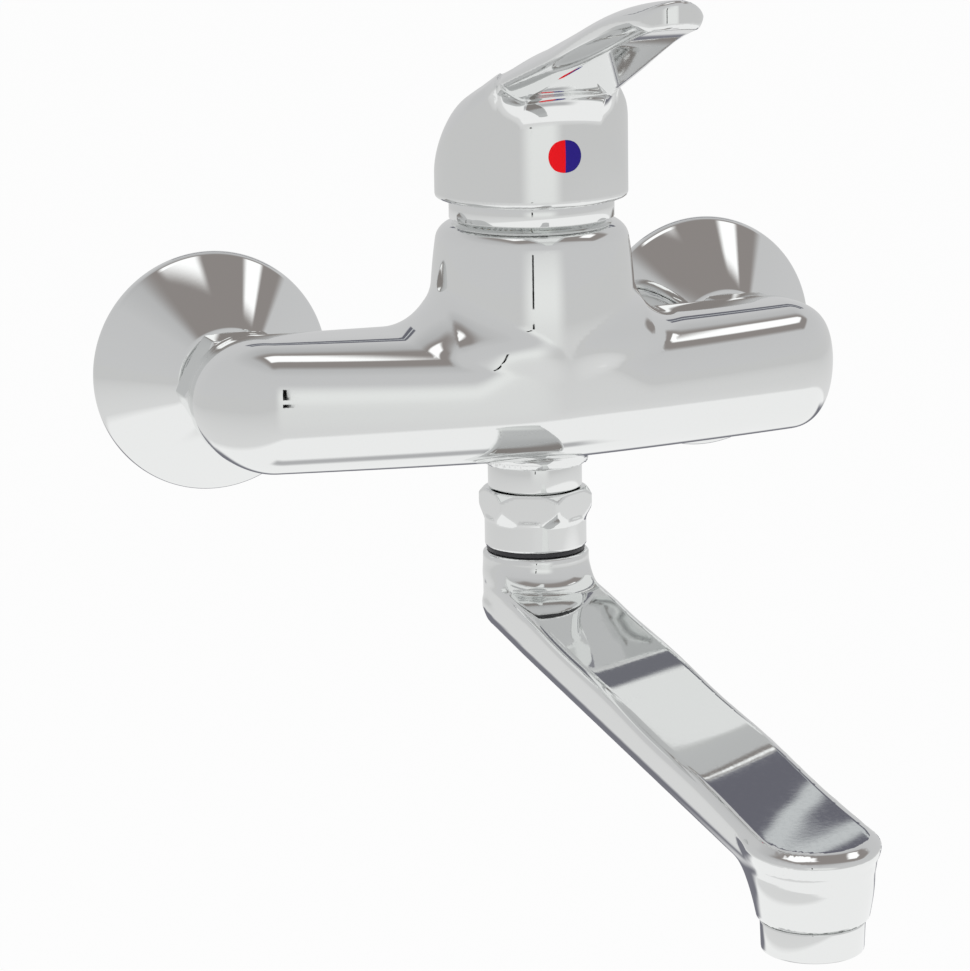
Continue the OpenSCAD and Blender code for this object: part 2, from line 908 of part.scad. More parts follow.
// Aerator
module aerator_housing() {
    color(chrome)
        on_outlet()
            difference() {
                union() {
                    disc(aerator_r, aerator_foot, outlet_foot);
                    disc(aerator_thread_r, outlet_foot, aerator_top);
                }
                disc(aerator_bore_r, aerator_foot - cut, aerator_top + cut);
            }
}

module aerator_insert() {
    pitch = 3 * aerator_hole_r;
    rows = floor((aerator_bore_r - aerator_hole_r) / pitch);
    color(white)
        on_outlet()
            difference() {
                disc(aerator_bore_r, aerator_foot + aerator_recess, aerator_top);
                disc(aerator_hole_r, aerator_foot, aerator_top + cut);
                for (row = [1 : rows], i = [0 : 6 * row - 1])
                    rotate([0, 0, 60 * i / row])
                        translate([row * pitch, 0, 0])
                            disc(aerator_hole_r, aerator_foot, aerator_top + cut, $fn = 16);
            }
}

module aerator_seal() {
    color(black)
        on_outlet()
            ring(aerator_thread_r, aerator_bore_r - aerator_wall, aerator_top, aerator_top + aerator_seal_t);
}

mixer_body();
rosette(-1);  // left_rosette
rosette(1);  // right_rosette
s_union(-1);  // left_s_union
s_union(1);  // right_s_union
union_nut(-1);  // left_union_nut
union_nut(1);  // right_union_nut
inlet_nipple(-1);  // left_inlet_nipple
inlet_nipple(1);  // right_inlet_nipple
inlet_seal_ring(-1);  // left_inlet_seal
inlet_seal_ring(1);  // right_inlet_seal
cartridge_base();
cartridge_base_seals();
fixed_ceramic_disc();
moving_ceramic_disc();
disc_carrier();
cartridge_housing();
cartridge_swivel();
pivot_pin();
lever_stem();
retaining_nut();
cover_collar();
lever_handle();
handle_set_screw();
index_half(-1, red);  // hot_index_half
index_half(1, blue);  // cold_index_half
spout_nipple();
spout_seal();
spout_nut();
slide_ring();
spout();
aerator_housing();
aerator_insert();
aerator_seal();
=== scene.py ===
"""Looks of a wall-mounted single-lever mixer tap: chrome castings, turned rings, nuts and inner parts."""
import itertools
import json
import math

import bmesh
import bpy
import numpy as np
from mathutils import Matrix, Vector


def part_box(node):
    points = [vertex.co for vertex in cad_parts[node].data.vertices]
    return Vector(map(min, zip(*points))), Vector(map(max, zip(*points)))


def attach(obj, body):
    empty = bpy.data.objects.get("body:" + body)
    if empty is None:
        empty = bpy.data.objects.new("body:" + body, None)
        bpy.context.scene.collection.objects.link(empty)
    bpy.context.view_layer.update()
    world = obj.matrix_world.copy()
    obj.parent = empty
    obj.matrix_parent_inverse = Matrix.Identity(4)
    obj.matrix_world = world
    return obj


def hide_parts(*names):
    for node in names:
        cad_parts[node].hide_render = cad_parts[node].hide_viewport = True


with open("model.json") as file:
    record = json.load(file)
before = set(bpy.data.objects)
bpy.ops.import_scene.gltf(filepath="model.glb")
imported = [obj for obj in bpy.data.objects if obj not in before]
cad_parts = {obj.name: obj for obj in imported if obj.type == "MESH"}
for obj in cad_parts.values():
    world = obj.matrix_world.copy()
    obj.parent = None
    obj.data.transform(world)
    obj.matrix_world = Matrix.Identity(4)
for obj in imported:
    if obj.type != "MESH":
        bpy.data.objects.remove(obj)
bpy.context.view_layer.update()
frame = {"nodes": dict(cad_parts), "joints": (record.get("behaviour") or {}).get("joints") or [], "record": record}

# Units: the shapes below are worked out in millimetres and stored in metres
MM = 0.001


def box_mm(node):
    low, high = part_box(node)
    return np.array(low) / MM, np.array(high) / MM


def joint_mm(name):
    place = next(j["pos_m"] for j in frame["joints"] if j["name"] == name)
    return np.array(place) / MM


# Main places, read from the frame
rosette_low, rosette_high = box_mm("right_rosette")
INLET_X = (rosette_low[0] + rosette_high[0]) / 2
INLET_Z = (rosette_low[2] + rosette_high[2]) / 2
ROSETTE_R = (rosette_high[0] - rosette_low[0]) / 2
ROSETTE_DEPTH = -rosette_low[1]
AXIS_Y = joint_mm("spout_swivel")[1]
PIVOT_H = joint_mm("flow_lift")[2] - INLET_Z
body_low, body_high = box_mm("mixer_body")
TOWER_TOP = body_high[2] - INLET_Z
BODY_FOOT = body_low[2] - INLET_Z
nut_low, nut_high = box_mm("right_union_nut")
NUT_GAP = 0.2
BODY_BACK = NUT_GAP - nut_low[1]
BODY_R = body_high[0] - INLET_X
spout_low, spout_high = box_mm("spout")
aerator_low, aerator_high = box_mm("aerator_housing")
OUTLET_Y = (aerator_low[1] + aerator_high[1]) / 2
SPOUT_REACH = AXIS_Y - OUTLET_Y
AERATOR_FOOT = aerator_low[2] - INLET_Z
OUTLET_FOOT = spout_low[2] - INLET_Z
handle_low, handle_high = box_mm("lever_handle")
SKIRT_R = handle_high[1] - AXIS_Y
SKIRT_H = handle_low[2] - INLET_Z
LEVER_REACH = AXIS_Y - handle_low[1]


# Fields: negative inside, about the distance in millimetres near the surface
LEAST_FILLET = 0.002
LEAST_LENGTH = 1e-9
LEAST_SLOPE = 1e-6
TINY = 1e-12


def round_max(a, b, r):
    """Both solids, with a rounded outer edge."""
    return np.minimum(np.maximum(a, b), -r) + np.hypot(np.maximum(a + r, 0), np.maximum(b + r, 0))


def round_min(a, b, r):
    """Either solid, with a hollow fillet between them."""
    return np.maximum(np.minimum(a, b), r) - np.hypot(np.maximum(r - a, 0), np.maximum(r - b, 0))


def gradient(field, p, reach=0.05):
    slope = np.empty_like(p)
    for axis in range(3):
        ahead = p.copy()
        behind = p.copy()
        ahead[..., axis] += reach
        behind[..., axis] -= reach
        slope[..., axis] = (field(ahead) - field(behind)) / (2 * reach)
    return slope


def unit(v):
    return v / np.maximum(np.linalg.norm(v, axis=-1, keepdims=True), LEAST_LENGTH)


def filleted(first, second, radius):
    """Joins two fields with a fillet that fades out where their surfaces run side by side."""
    def field(p):
        along = np.sum(unit(gradient(first, p)) * unit(gradient(second, p)), axis=-1)
        return round_min(first(p), second(p), radius * np.clip(1 - along, LEAST_FILLET, 1))
    return field


def smooth(low, high, v):
    """Eases from 0 at low to 1 at high."""
    t = np.clip((v - low) / (high - low), 0, 1)
    return t * t * (3 - 2 * t)


def from_axis(p):
    """Sideways, run into the room and height, from the swivel axis at the inlets' height."""
    return p[..., 0], AXIS_Y - p[..., 1], p[..., 2] - INLET_Z


# Body
LOAF_HALF = 18.6
LOAF_FRONT = 89.65
LOAF_LEAN = 0.14
LOAF_RIDGE = 9.0
LOAF_CURVE = 0.0009
LOAF_END_GAP = 1
LOAF_END = INLET_X + LOAF_END_GAP
LOAF_END_CURVE = 0.035
LOAF_BACK_POWER = 3.6
LOAF_FRONT_POWER = 3.0
LOAF_CREST_POWER = 9.0
LOAF_UNDER = 0.945
INLET_BOSS_R = 17.0
INLET_BOSS_STEP = 1.2
TOWER_FOOT_R = 28.2
TOWER_R = 26.4
TOWER_DRAW_LIMIT = 1.5
TOWER_FOOT = 2.0
TOWER_FOOT_ROUND = 2.0
SHOULDER_R = 4.5
SADDLE_R = 13.0
SADDLE_FADE = 1.3
SADDLE_LOW = 2.0
SEAM_R = 0.05
OUTLET_BOSS_R = 14.8
BOSS_EDGE = 0.8
BOSS_FILLET = 1.5
CARTRIDGE_R = 17.6
CARTRIDGE_SEAT = 9.0
RETAINER_R = 19.6
RETAINER_SEAT = 32.1
BORE_EDGE = 0.5


def loaf(p):
    """The arms: a bar bowed in plan, with a soft ridge in the middle and rounded ends."""
    x, y, z = np.abs(p[..., 0]), p[..., 1], p[..., 2] - INLET_Z
    lean = LOAF_LEAN * (np.hypot(x, LOAF_RIDGE) - LOAF_RIDGE) + LOAF_CURVE * x * x
    end = LOAF_END_CURVE * np.clip(x - LOAF_END, 0, BODY_R) ** 2
    front = LOAF_FRONT - lean - end
    back = BODY_BACK + INLET_BOSS_STEP
    height = np.where(z < 0, z / LOAF_UNDER, z)
    across = np.hypot(np.maximum(x - INLET_X, 0), height) / LOAF_HALF
    deep = (-y - (front + back) / 2) / ((front - back) / 2)
    upper_power = LOAF_CREST_POWER + (LOAF_FRONT_POWER - LOAF_CREST_POWER) * smooth(0, TOWER_R, x)
    power = np.where(deep > 0, np.where(z > 0, upper_power, LOAF_FRONT_POWER), LOAF_BACK_POWER)
    return ((across**power + np.abs(deep)**power + TINY) ** (1 / power) - 1) * LOAF_HALF


def tower(p):
    """The upright barrel under the collar, drawn in a little towards its round shoulder."""
    x, run, h = from_axis(p)
    swell = np.maximum(h - LOAF_HALF, 0) / (TOWER_TOP - SHOULDER_R - LOAF_HALF)
    wall = TOWER_FOOT_R - (TOWER_FOOT_R - TOWER_R) * np.minimum(swell * swell, TOWER_DRAW_LIMIT)
    upper = round_max(np.hypot(x, run) - wall, h - TOWER_TOP, SHOULDER_R)
    return round_max(upper, TOWER_FOOT - h, TOWER_FOOT_ROUND)


def inlet_boss(p):
    side = np.hypot(np.abs(p[..., 0]) - INLET_X, p[..., 2] - INLET_Z) - INLET_BOSS_R
    depth = np.abs(-p[..., 1] - BODY_BACK - LOAF_HALF / 2) - LOAF_HALF / 2
    return round_max(side, depth, BOSS_EDGE)


def outlet_boss(p):
    x, run, h = from_axis(p)
    tall = np.abs(h - BODY_FOOT / 2) + BODY_FOOT / 2
    return round_max(np.hypot(x, run) - OUTLET_BOSS_R, tall, BOSS_EDGE)


def cartridge_bore(p):
    x, run, h = from_axis(p)
    r = np.hypot(x, run)
    return np.minimum(
        np.maximum(r - CARTRIDGE_R, CARTRIDGE_SEAT - h),
        np.maximum(r - RETAINER_R, RETAINER_SEAT - h),
    )


def saddle(p):
    """Radius of the hollow between the tower and the arms: full at the sides, only a seam in front."""
    side = np.minimum(np.abs(p[..., 0]) / TOWER_FOOT_R, 1) ** SADDLE_FADE
    rise = smooth(SADDLE_LOW, LOAF_HALF, p[..., 2] - INLET_Z)
    return np.hypot(SEAM_R, SADDLE_R * side * rise)


def body_field(p):
    solid = round_min(loaf(p), tower(p), saddle(p))
    solid = round_min(solid, inlet_boss(p), BOSS_FILLET)
    solid = round_min(solid, outlet_boss(p), BOSS_FILLET)
    return round_max(solid, -cartridge_bore(p), BORE_EDGE)


# Handle
CREST_H = 87.15
CREST_SLOPE = 0.317
CREST_BEND = 60.0
CREST_EASE = 0.00264
REAR_RUN = 8.0
REAR_FALL = 0.0094
CROWN_DROP = 7.44
TIP_DROP = 3.65
DROP_START = 50
DROP_END = 92
DOME_ROUND = 8.0
DOME_ROUND_SLOPE = 0.38
DOME_ROUND_LEAST = 3
DOME_ROUND_MOST = 24
UNDER_H = 84.7
UNDER_RUN = 33.0
UNDER_SLOPE = 0.3475
UNDER_BEND = 80.0
UNDER_EASE = 0.0029
BLADE_W = 21.15
BLADE_TAPER = 0.117
BLADE_ROOT = -6
BLADE_SHORT = 0.6
BLADE_END = LEVER_REACH - BLADE_SHORT
TIP_ROUND = 9.5
FLAT_W = 13.0
FLAT_TAPER = 0.07
EDGE_T = 1.2
BEVEL_REACH = 1.2
BEVEL_BULGE = 0.6
CHEEK_FADE = 8.0
CHEEK_START = 8
CHEEK_END = 28
BLADE_SINK = 5.0
SINK_END = 14
BLADE_SKIN_EDGE = 1.0
BLADE_EDGE = 1.2
THROAT_R = 9.0
HOLLOW_R = 27.9
HOLLOW_EDGE = 0.6
SKIRT_INNER_R = 23.65
SKIRT_HOLLOW = 16
SKIRT_EDGE = 1.3
TILT_RUN = 6.6
TILT_SLOPE = 0.105

# Cosines of the sloping skins, which turn heights into distances
CREST_COS = 0.95
UNDER_COS = 0.9


def crest(run):
    """Height of the handle's middle line."""
    tip = CREST_EASE * np.maximum(run - CREST_BEND, 0) ** 2
    rear = REAR_FALL * np.maximum(REAR_RUN - run, 0) ** 2
    return CREST_H + CREST_SLOPE * run - tip - rear


def blade_half(run):
    return BLADE_W - BLADE_TAPER * run


def crown(x, run):
    """Height of the handle's upper skin."""
    drop = CROWN_DROP + (TIP_DROP - CROWN_DROP) * smooth(DROP_START, DROP_END, run)
    return crest(run) - drop * (x / blade_half(np.maximum(run, 0))) ** 2


def dome(p):
    """The round cap over the collar."""
    x, run, h = from_axis(p)
    side = np.hypot(x, run) - SKIRT_R
    rounding = np.clip(DOME_ROUND - DOME_ROUND_SLOPE * run, DOME_ROUND_LEAST, DOME_ROUND_MOST)
    return round_max(side, (h - crown(x, run)) * CREST_COS, rounding)


def blade(p):
    """The lever's plate: crowned above, flat in the middle below, with bevelled edges."""
    x, run, h = from_axis(p)
    wide = blade_half(run) - CHEEK_FADE * smooth(CHEEK_END, CHEEK_START, run)
    skin_top = crown(x, run) - BLADE_SINK * smooth(SINK_END, BLADE_ROOT, run)
    flat = FLAT_W - FLAT_TAPER * run
    low = UNDER_H + UNDER_SLOPE * (run - UNDER_RUN) - UNDER_EASE * np.maximum(run - UNDER_BEND, 0) ** 2
    edge_low = crown(wide, run) - EDGE_T
    bevel = np.clip((np.abs(x) - flat) / np.maximum(wide - flat, 1), 0, BEVEL_REACH)
    curl = 1 + BEVEL_BULGE - BEVEL_BULGE * bevel
    under = low + np.maximum(edge_low - low, 0) * bevel * bevel * curl
    plan = round_max(np.abs(x) - wide, run - BLADE_END, TIP_ROUND)
    plan = np.maximum(plan, BLADE_ROOT - run)
    skin = round_max((h - skin_top) * CREST_COS, (under - h) * UNDER_COS, BLADE_SKIN_EDGE)
    return round_max(plan, skin, BLADE_EDGE)


grip = filleted(dome, blade, THROAT_R)


def handle_field(p):
    x, run, h = from_axis(p)
    foot = SKIRT_H + np.maximum(-run - TILT_RUN, 0) * TILT_SLOPE - h
    solid = round_max(grip(p), foot, SKIRT_EDGE)
    r = np.hypot(x, run)
    skirt = np.maximum(r - SKIRT_INNER_R, h - PIVOT_H - SKIRT_HOLLOW)
    hollow = np.minimum(skirt, np.hypot(r, h - PIVOT_H) - HOLLOW_R)
    return round_max(solid, -hollow, HOLLOW_EDGE)


# Spout
SOCKET_R = 14.7
SPOUT_HALF = 15.0
SPOUT_WIDENING = 30
SPOUT_DROP = 7.0
SPOUT_FALL = math.tan(math.radians(6.1))
slide_low, slide_high = box_mm("slide_ring")
SLIDE_FOOT = slide_low[2] - INLET_Z
SLIDE_TOP = slide_high[2] - INLET_Z
SLIDE_GAP = 0.07
SOCKET_TOP = SLIDE_FOOT - SLIDE_GAP
SOCKET_EDGE = 1.0
SPOUT_ROOT_T = 15.5
SPOUT_TIP_T = 11.8
SPOUT_HEEL_LIFT = 0.55
SPOUT_TOP_EDGE = 2.4
SPOUT_FOOT_EDGE = 6.0
WAVE_DEPTH = 0.28
WAVE_LENGTH = 62.0
WAVE_SLANT = 0.8
WAVE_START = 15
WAVE_FULL = 40
OUTLET_R = 13.2
OUTLET_EDGE = 0.8
SOCKET_FILLET = 7.0
OUTLET_FILLET = 15.0


def spout_face(run):
    """Height of the spout's upper face."""
    return SOCKET_TOP - SPOUT_DROP - np.maximum(run, 0) * SPOUT_FALL


def spout_bar(p):
    """A flat bar that falls and thins towards the outlet; its upper face waves a little."""
    x, run, h = from_axis(p)
    past = np.maximum(run - SPOUT_REACH, 0) + np.maximum(-run, 0)
    side = np.hypot(x, past) - SOCKET_R - (SPOUT_HALF - SOCKET_R) * smooth(0, SPOUT_WIDENING, run)
    back = np.clip(-run / SOCKET_R, 0, 1)
    lift = SPOUT_HEEL_LIFT * SPOUT_ROOT_T * (1 - np.sqrt(1 - back * back))
    thick = SPOUT_ROOT_T + (SPOUT_TIP_T - SPOUT_ROOT_T) * np.clip(run / SPOUT_REACH, 0, 1)
    wave = np.sin(2 * math.pi * (run + WAVE_SLANT * x) / WAVE_LENGTH) * smooth(WAVE_START, WAVE_FULL, run)
    top = h - spout_face(run) - WAVE_DEPTH * wave
    foot = spout_face(run) - thick + lift - h
    return round_max(round_max(side, top, SPOUT_TOP_EDGE), foot, SPOUT_FOOT_EDGE)


def socket(p):
    x, run, h = from_axis(p)
    middle = SOCKET_TOP - SPOUT_DROP
    tall = np.abs(h - middle) - SPOUT_DROP
    return round_max(np.hypot(x, run) - SOCKET_R, tall, SOCKET_EDGE)


def outlet_block(p):
    x, run, h = from_axis(p)
    face = spout_face(SPOUT_REACH)
    wall = OUTLET_R + (SPOUT_HALF - OUTLET_R) * (h - OUTLET_FOOT) / (face - OUTLET_FOOT)
    side = np.hypot(x, run - SPOUT_REACH) - wall
    tall = np.maximum(OUTLET_FOOT - h, h - face + SPOUT_TIP_T / 2)
    return round_max(side, tall, OUTLET_EDGE)


spout_field = filleted(filleted(spout_bar, socket, SOCKET_FILLET), outlet_block, OUTLET_FILLET)


# Nuts
NUT_EDGE = 0.5
NUT_END_EDGE = 0.6


def hex_field(across_flats, turn):
    """Distance from a hexagon about the local axis, before its ends are cut."""
    def field(u, v):
        far = np.full(u.shape, -np.inf)
        for i in range(3):
            a = turn + math.pi * i / 3
            far = np.maximum(far, np.abs(u * math.cos(a) + v * math.sin(a)) - across_flats / 2)
        return far
    return field


UNION_NUT_AF = nut_high[2] - nut_low[2]
UNION_NUT_CHAMFER = 1.6
UNION_NUT_CHAMFER_SLOPE = 1.3
union_hex = hex_field(UNION_NUT_AF, math.pi / 2)


def union_nut_field(p):
    u, v, d = p[..., 0] - INLET_X, p[..., 2] - INLET_Z, -p[..., 1]
    middle = -(nut_low[1] + nut_high[1]) / 2
    half = (nut_high[1] - nut_low[1]) / 2
    past = np.abs(d - middle) - half
    chamfer = np.maximum(past + UNION_NUT_CHAMFER, 0) * UNION_NUT_CHAMFER_SLOPE
    barrel = np.hypot(u, v) - UNION_NUT_AF / math.sqrt(3) + chamfer
    return round_max(round_max(union_hex(u, v), barrel, NUT_EDGE), past, NUT_END_EDGE)


spout_nut_low, spout_nut_high = box_mm("spout_nut")
SPOUT_NUT_TOP = spout_nut_high[2] - INLET_Z
SPOUT_NUT_FOOT = spout_nut_low[2] - INLET_Z
SPOUT_NUT_AF = 27.5
SPOUT_NUT_R = 14.2
SPOUT_NUT_TURN = math.radians(-3.1)
SPOUT_NUT_HEX = 9.0
SPOUT_NUT_LAP = 1.5
SPOUT_NUT_LEAD = 2.0
SPOUT_NUT_LEAD_SLOPE = 0.9
SPOUT_NUT_COS = 0.9
SPOUT_NUT_FLAT_EDGE = 0.35
spout_hex = hex_field(SPOUT_NUT_AF, SPOUT_NUT_TURN)


def spout_nut_field(p):
    """A turned barrel that swells in its upper half, with six flats milled into the swell."""
    x, run, h = from_axis(p)
    r = np.hypot(x, run)
    down = SPOUT_NUT_TOP - h
    corner = SPOUT_NUT_AF / math.sqrt(3)
    wall = SPOUT_NUT_R + (corner - SPOUT_NUT_R) * smooth(SPOUT_NUT_HEX, SPOUT_NUT_HEX / 2, down)
    wall = wall - np.maximum(SPOUT_NUT_LEAD - down, 0) * SPOUT_NUT_LEAD_SLOPE
    barrel = (r - wall) * SPOUT_NUT_COS
    flats = round_max(spout_hex(x, run), down - SPOUT_NUT_HEX, NUT_END_EDGE)
    plain = round_max(r - SPOUT_NUT_R, SPOUT_NUT_HEX - SPOUT_NUT_LAP - down, NUT_EDGE)
    milled = np.minimum(flats, plain)
    tall = np.maximum(-down, down - SPOUT_NUT_TOP + SPOUT_NUT_FOOT)
    return round_max(round_max(barrel, milled, SPOUT_NUT_FLAT_EDGE), tall, NUT_EDGE)


# Meshes
NORMAL_REACH = 0.5
MARGIN_STEPS = 2
FIRST_PULLS = 5
RELAX_ROUNDS = 4
RELAX_PULLS = 2
RELAX_SHARE = 0.5


def surface_net(field, low, high, step):
    """Vertices and quads of the field's surface, one vertex in each grid cell that it crosses."""
    ticks = [np.arange(a, b + step, step) for a, b in zip(low, high)]
    grid = np.stack(np.meshgrid(*ticks, indexing="ij"), axis=-1)
    inside = field(grid) < 0
    shape = np.array(inside.shape)
    count = np.zeros(shape - 1, int)
    for i, j, k in itertools.product((0, 1), repeat=3):
        count += inside[i : shape[0] - 1 + i, j : shape[1] - 1 + j, k : shape[2] - 1 + k]
    mixed = (count > 0) & (count < 8)
    index = np.full(mixed.shape, -1)
    index[mixed] = np.arange(mixed.sum())
    points = np.array(low) + (np.argwhere(mixed) + 0.5) * step
    quads = []
    for axis in range(3):
        u, v = np.eye(3, dtype=int)[[(axis + 1) % 3, (axis + 2) % 3]]
        ahead = np.take(inside, range(1, shape[axis]), axis)
        here = np.take(inside, range(shape[axis] - 1), axis)
        edges = np.argwhere(ahead != here)
        ring = np.stack([index[tuple((edges - s).T)] for s in (0 * u, u, u + v, v)], axis=1)
        inward = ~here[tuple(edges.T)]
        ring[inward] = ring[inward][:, ::-1]
        quads.append(ring)
    return points, np.concatenate(quads)


def pull(field, p, step, rounds):
    """Moves each vertex onto the surface, by one step at most in a round."""
    for _ in range(rounds):
        slope = gradient(field, p)
        move = field(p)[:, None] * slope / np.maximum((slope**2).sum(1, keepdims=True), LEAST_SLOPE)
        length = np.linalg.norm(move, axis=1, keepdims=True)
        p = p - move * np.minimum(1, step / np.maximum(length, LEAST_LENGTH))
    return p


def relax(p, quads):
    """Moves each vertex towards the mean of its neighbours."""
    total = np.zeros_like(p)
    near = np.zeros(len(p))
    for a, b in ((0, 1), (1, 2), (2, 3), (3, 0)):
        for start, end in ((a, b), (b, a)):
            np.add.at(total, quads[:, start], p[quads[:, end]])
            np.add.at(near, quads[:, start], 1)
    return p + RELAX_SHARE * (total / near[:, None] - p)


def link(name, data):
    piece = bpy.data.objects.new(name, data)
    bpy.context.scene.collection.objects.link(piece)
    return piece


def cast(name, field, low, high, step, mirrored=False):
    """A piece meshed from its field, with the field's own normals."""
    margin = MARGIN_STEPS * step
    p, quads = surface_net(field, np.array(low) - margin, np.array(high) + margin, step)
    p = pull(field, p, step, FIRST_PULLS)
    for _ in range(RELAX_ROUNDS):
        p = pull(field, relax(p, quads), step, RELAX_PULLS)
    normals = unit(gradient(field, p, step * NORMAL_REACH))
    if mirrored:
        p = p * (-1, 1, 1)
        normals = normals * (-1, 1, 1)
        quads = quads[:, ::-1]
    mesh = bpy.data.meshes.new(name)
    mesh.from_pydata((p * MM).tolist(), [], quads.tolist())
    mesh.shade_smooth()
    mesh.normals_split_custom_set_from_vertices(normals.tolist())
    return link(name, mesh)


def arc(centre, r, start, end, steps=8):
    return [
        (centre[0] + r * math.cos(math.radians(a)), centre[1] + r * math.sin(math.radians(a)))
        for a in np.linspace(start, end, steps)
    ]


def eased(corners, steps=5):
    """A closed outline whose corners, given as (radius, height, rounding), are cut by small arcs."""
    outline = []
    for i, (r, h, ease) in enumerate(corners):
        here = Vector((r, h))
        back = (Vector(corners[i - 1][:2]) - here).normalized()
        ahead = (Vector(corners[(i + 1) % len(corners)][:2]) - here).normalized()
        if ease == 0:
            outline.append((r, h))
            continue
        for t in np.linspace(0, 1, steps):
            start, end = here + back * ease, here + ahead * ease
            q = start * (1 - t) ** 2 + here * 2 * t * (1 - t) + end * t * t
            outline.append((q.x, q.y))
    return outline


def turned(name, outline, place, segments=160):
    """A closed ring turned from an outline of (radius, height) points, then put in its place."""
    angles = np.linspace(0, 2 * math.pi, segments, endpoint=False)
    points = [(r * math.cos(a), r * math.sin(a), h) for a in angles for r, h in outline]
    n = len(outline)
    faces = [
        (i * n + j, (i + 1) % segments * n + j, (i + 1) % segments * n + (j + 1) % n, i * n + (j + 1) % n)
        for i in range(segments)
        for j in range(n)
    ]
    area = sum(a[0] * b[1] - b[0] * a[1] for a, b in zip(outline, outline[1:] + outline[:1]))
    if area < 0:
        faces = [f[::-1] for f in faces]
    mesh = bpy.data.meshes.new(name)
    mesh.from_pydata(points, [], faces)
    mesh.transform(place @ Matrix.Scale(MM, 4))
    mesh.shade_smooth()
    return link(name, mesh)


def on_axis(run=0.0):
    """The place of a ring about the swivel axis, or about an upright axis further into the room."""
    return Matrix.Translation(Vector((0, AXIS_Y - run, INLET_Z)) * MM)


def on_inlet(side):
    """The place of a ring about an inlet's axis, with its heights running into the room."""
    turn = Matrix.Rotation(math.pi / 2, 4, "X")
    return Matrix.Translation(Vector((side * INLET_X, 0, INLET_Z)) * MM) @ turn


# Shapes that follow a rule
def rule_tree(name, inputs):
    """A geometry tree with named inputs; returns it with its input and output nodes."""
    tree = bpy.data.node_groups.new(name, "GeometryNodeTree")
    for label, kind in inputs:
        tree.interface.new_socket(name=label, in_out="INPUT", socket_type="NodeSocket" + kind)
    tree.interface.new_socket(name="Geometry", in_out="OUTPUT", socket_type="NodeSocketGeometry")
    return tree, tree.nodes.new("NodeGroupInput"), tree.nodes.new("NodeGroupOutput")


def closing(tree, source, group_in, group_out):
    """Ends a tree: real geometry with its material."""
    real = tree.nodes.new("GeometryNodeRealizeInstances")
    paint = tree.nodes.new("GeometryNodeSetMaterial")
    tree.links.new(source, real.inputs["Geometry"])
    tree.links.new(real.outputs["Geometry"], paint.inputs["Geometry"])
    tree.links.new(group_in.outputs["Material"], paint.inputs["Material"])
    tree.links.new(paint.outputs["Geometry"], group_out.inputs["Geometry"])


def arithmetic(tree, operation, first, second=None):
    node = tree.nodes.new("ShaderNodeMath")
    node.operation = operation
    for socket, value in zip(node.inputs, (first, second)):
        if isinstance(value, (int, float)):
            socket.default_value = value
        elif value is not None:
            tree.links.new(value, socket)
    return node.outputs[0]


def thread_tree():
    """A ridge that winds around an axis."""
    tree, group_in, group_out = rule_tree(
        "thread",
        [(size, "Float") for size in ("Radius", "Length", "Pitch", "Depth")] + [("Material", "Material")],
    )
    spiral = tree.nodes.new("GeometryNodeCurveSpiral")
    spiral.inputs["Resolution"].default_value = 48
    given = group_in.outputs
    tree.links.new(arithmetic(tree, "DIVIDE", given["Length"], given["Pitch"]), spiral.inputs["Rotations"])
    tree.links.new(given["Radius"], spiral.inputs["Start Radius"])
    tree.links.new(given["Radius"], spiral.inputs["End Radius"])
    tree.links.new(given["Length"], spiral.inputs["Height"])
    ridge = tree.nodes.new("GeometryNodeCurvePrimitiveCircle")
    ridge.inputs["Resolution"].default_value = 6
    tree.links.new(given["Depth"], ridge.inputs["Radius"])
    sweep = tree.nodes.new("GeometryNodeCurveToMesh")
    sweep.inputs["Fill Caps"].default_value = True
    tree.links.new(spiral.outputs["Curve"], sweep.inputs["Curve"])
    tree.links.new(ridge.outputs["Curve"], sweep.inputs["Profile Curve"])
    closing(tree, sweep.outputs["Mesh"], group_in, group_out)
    return tree


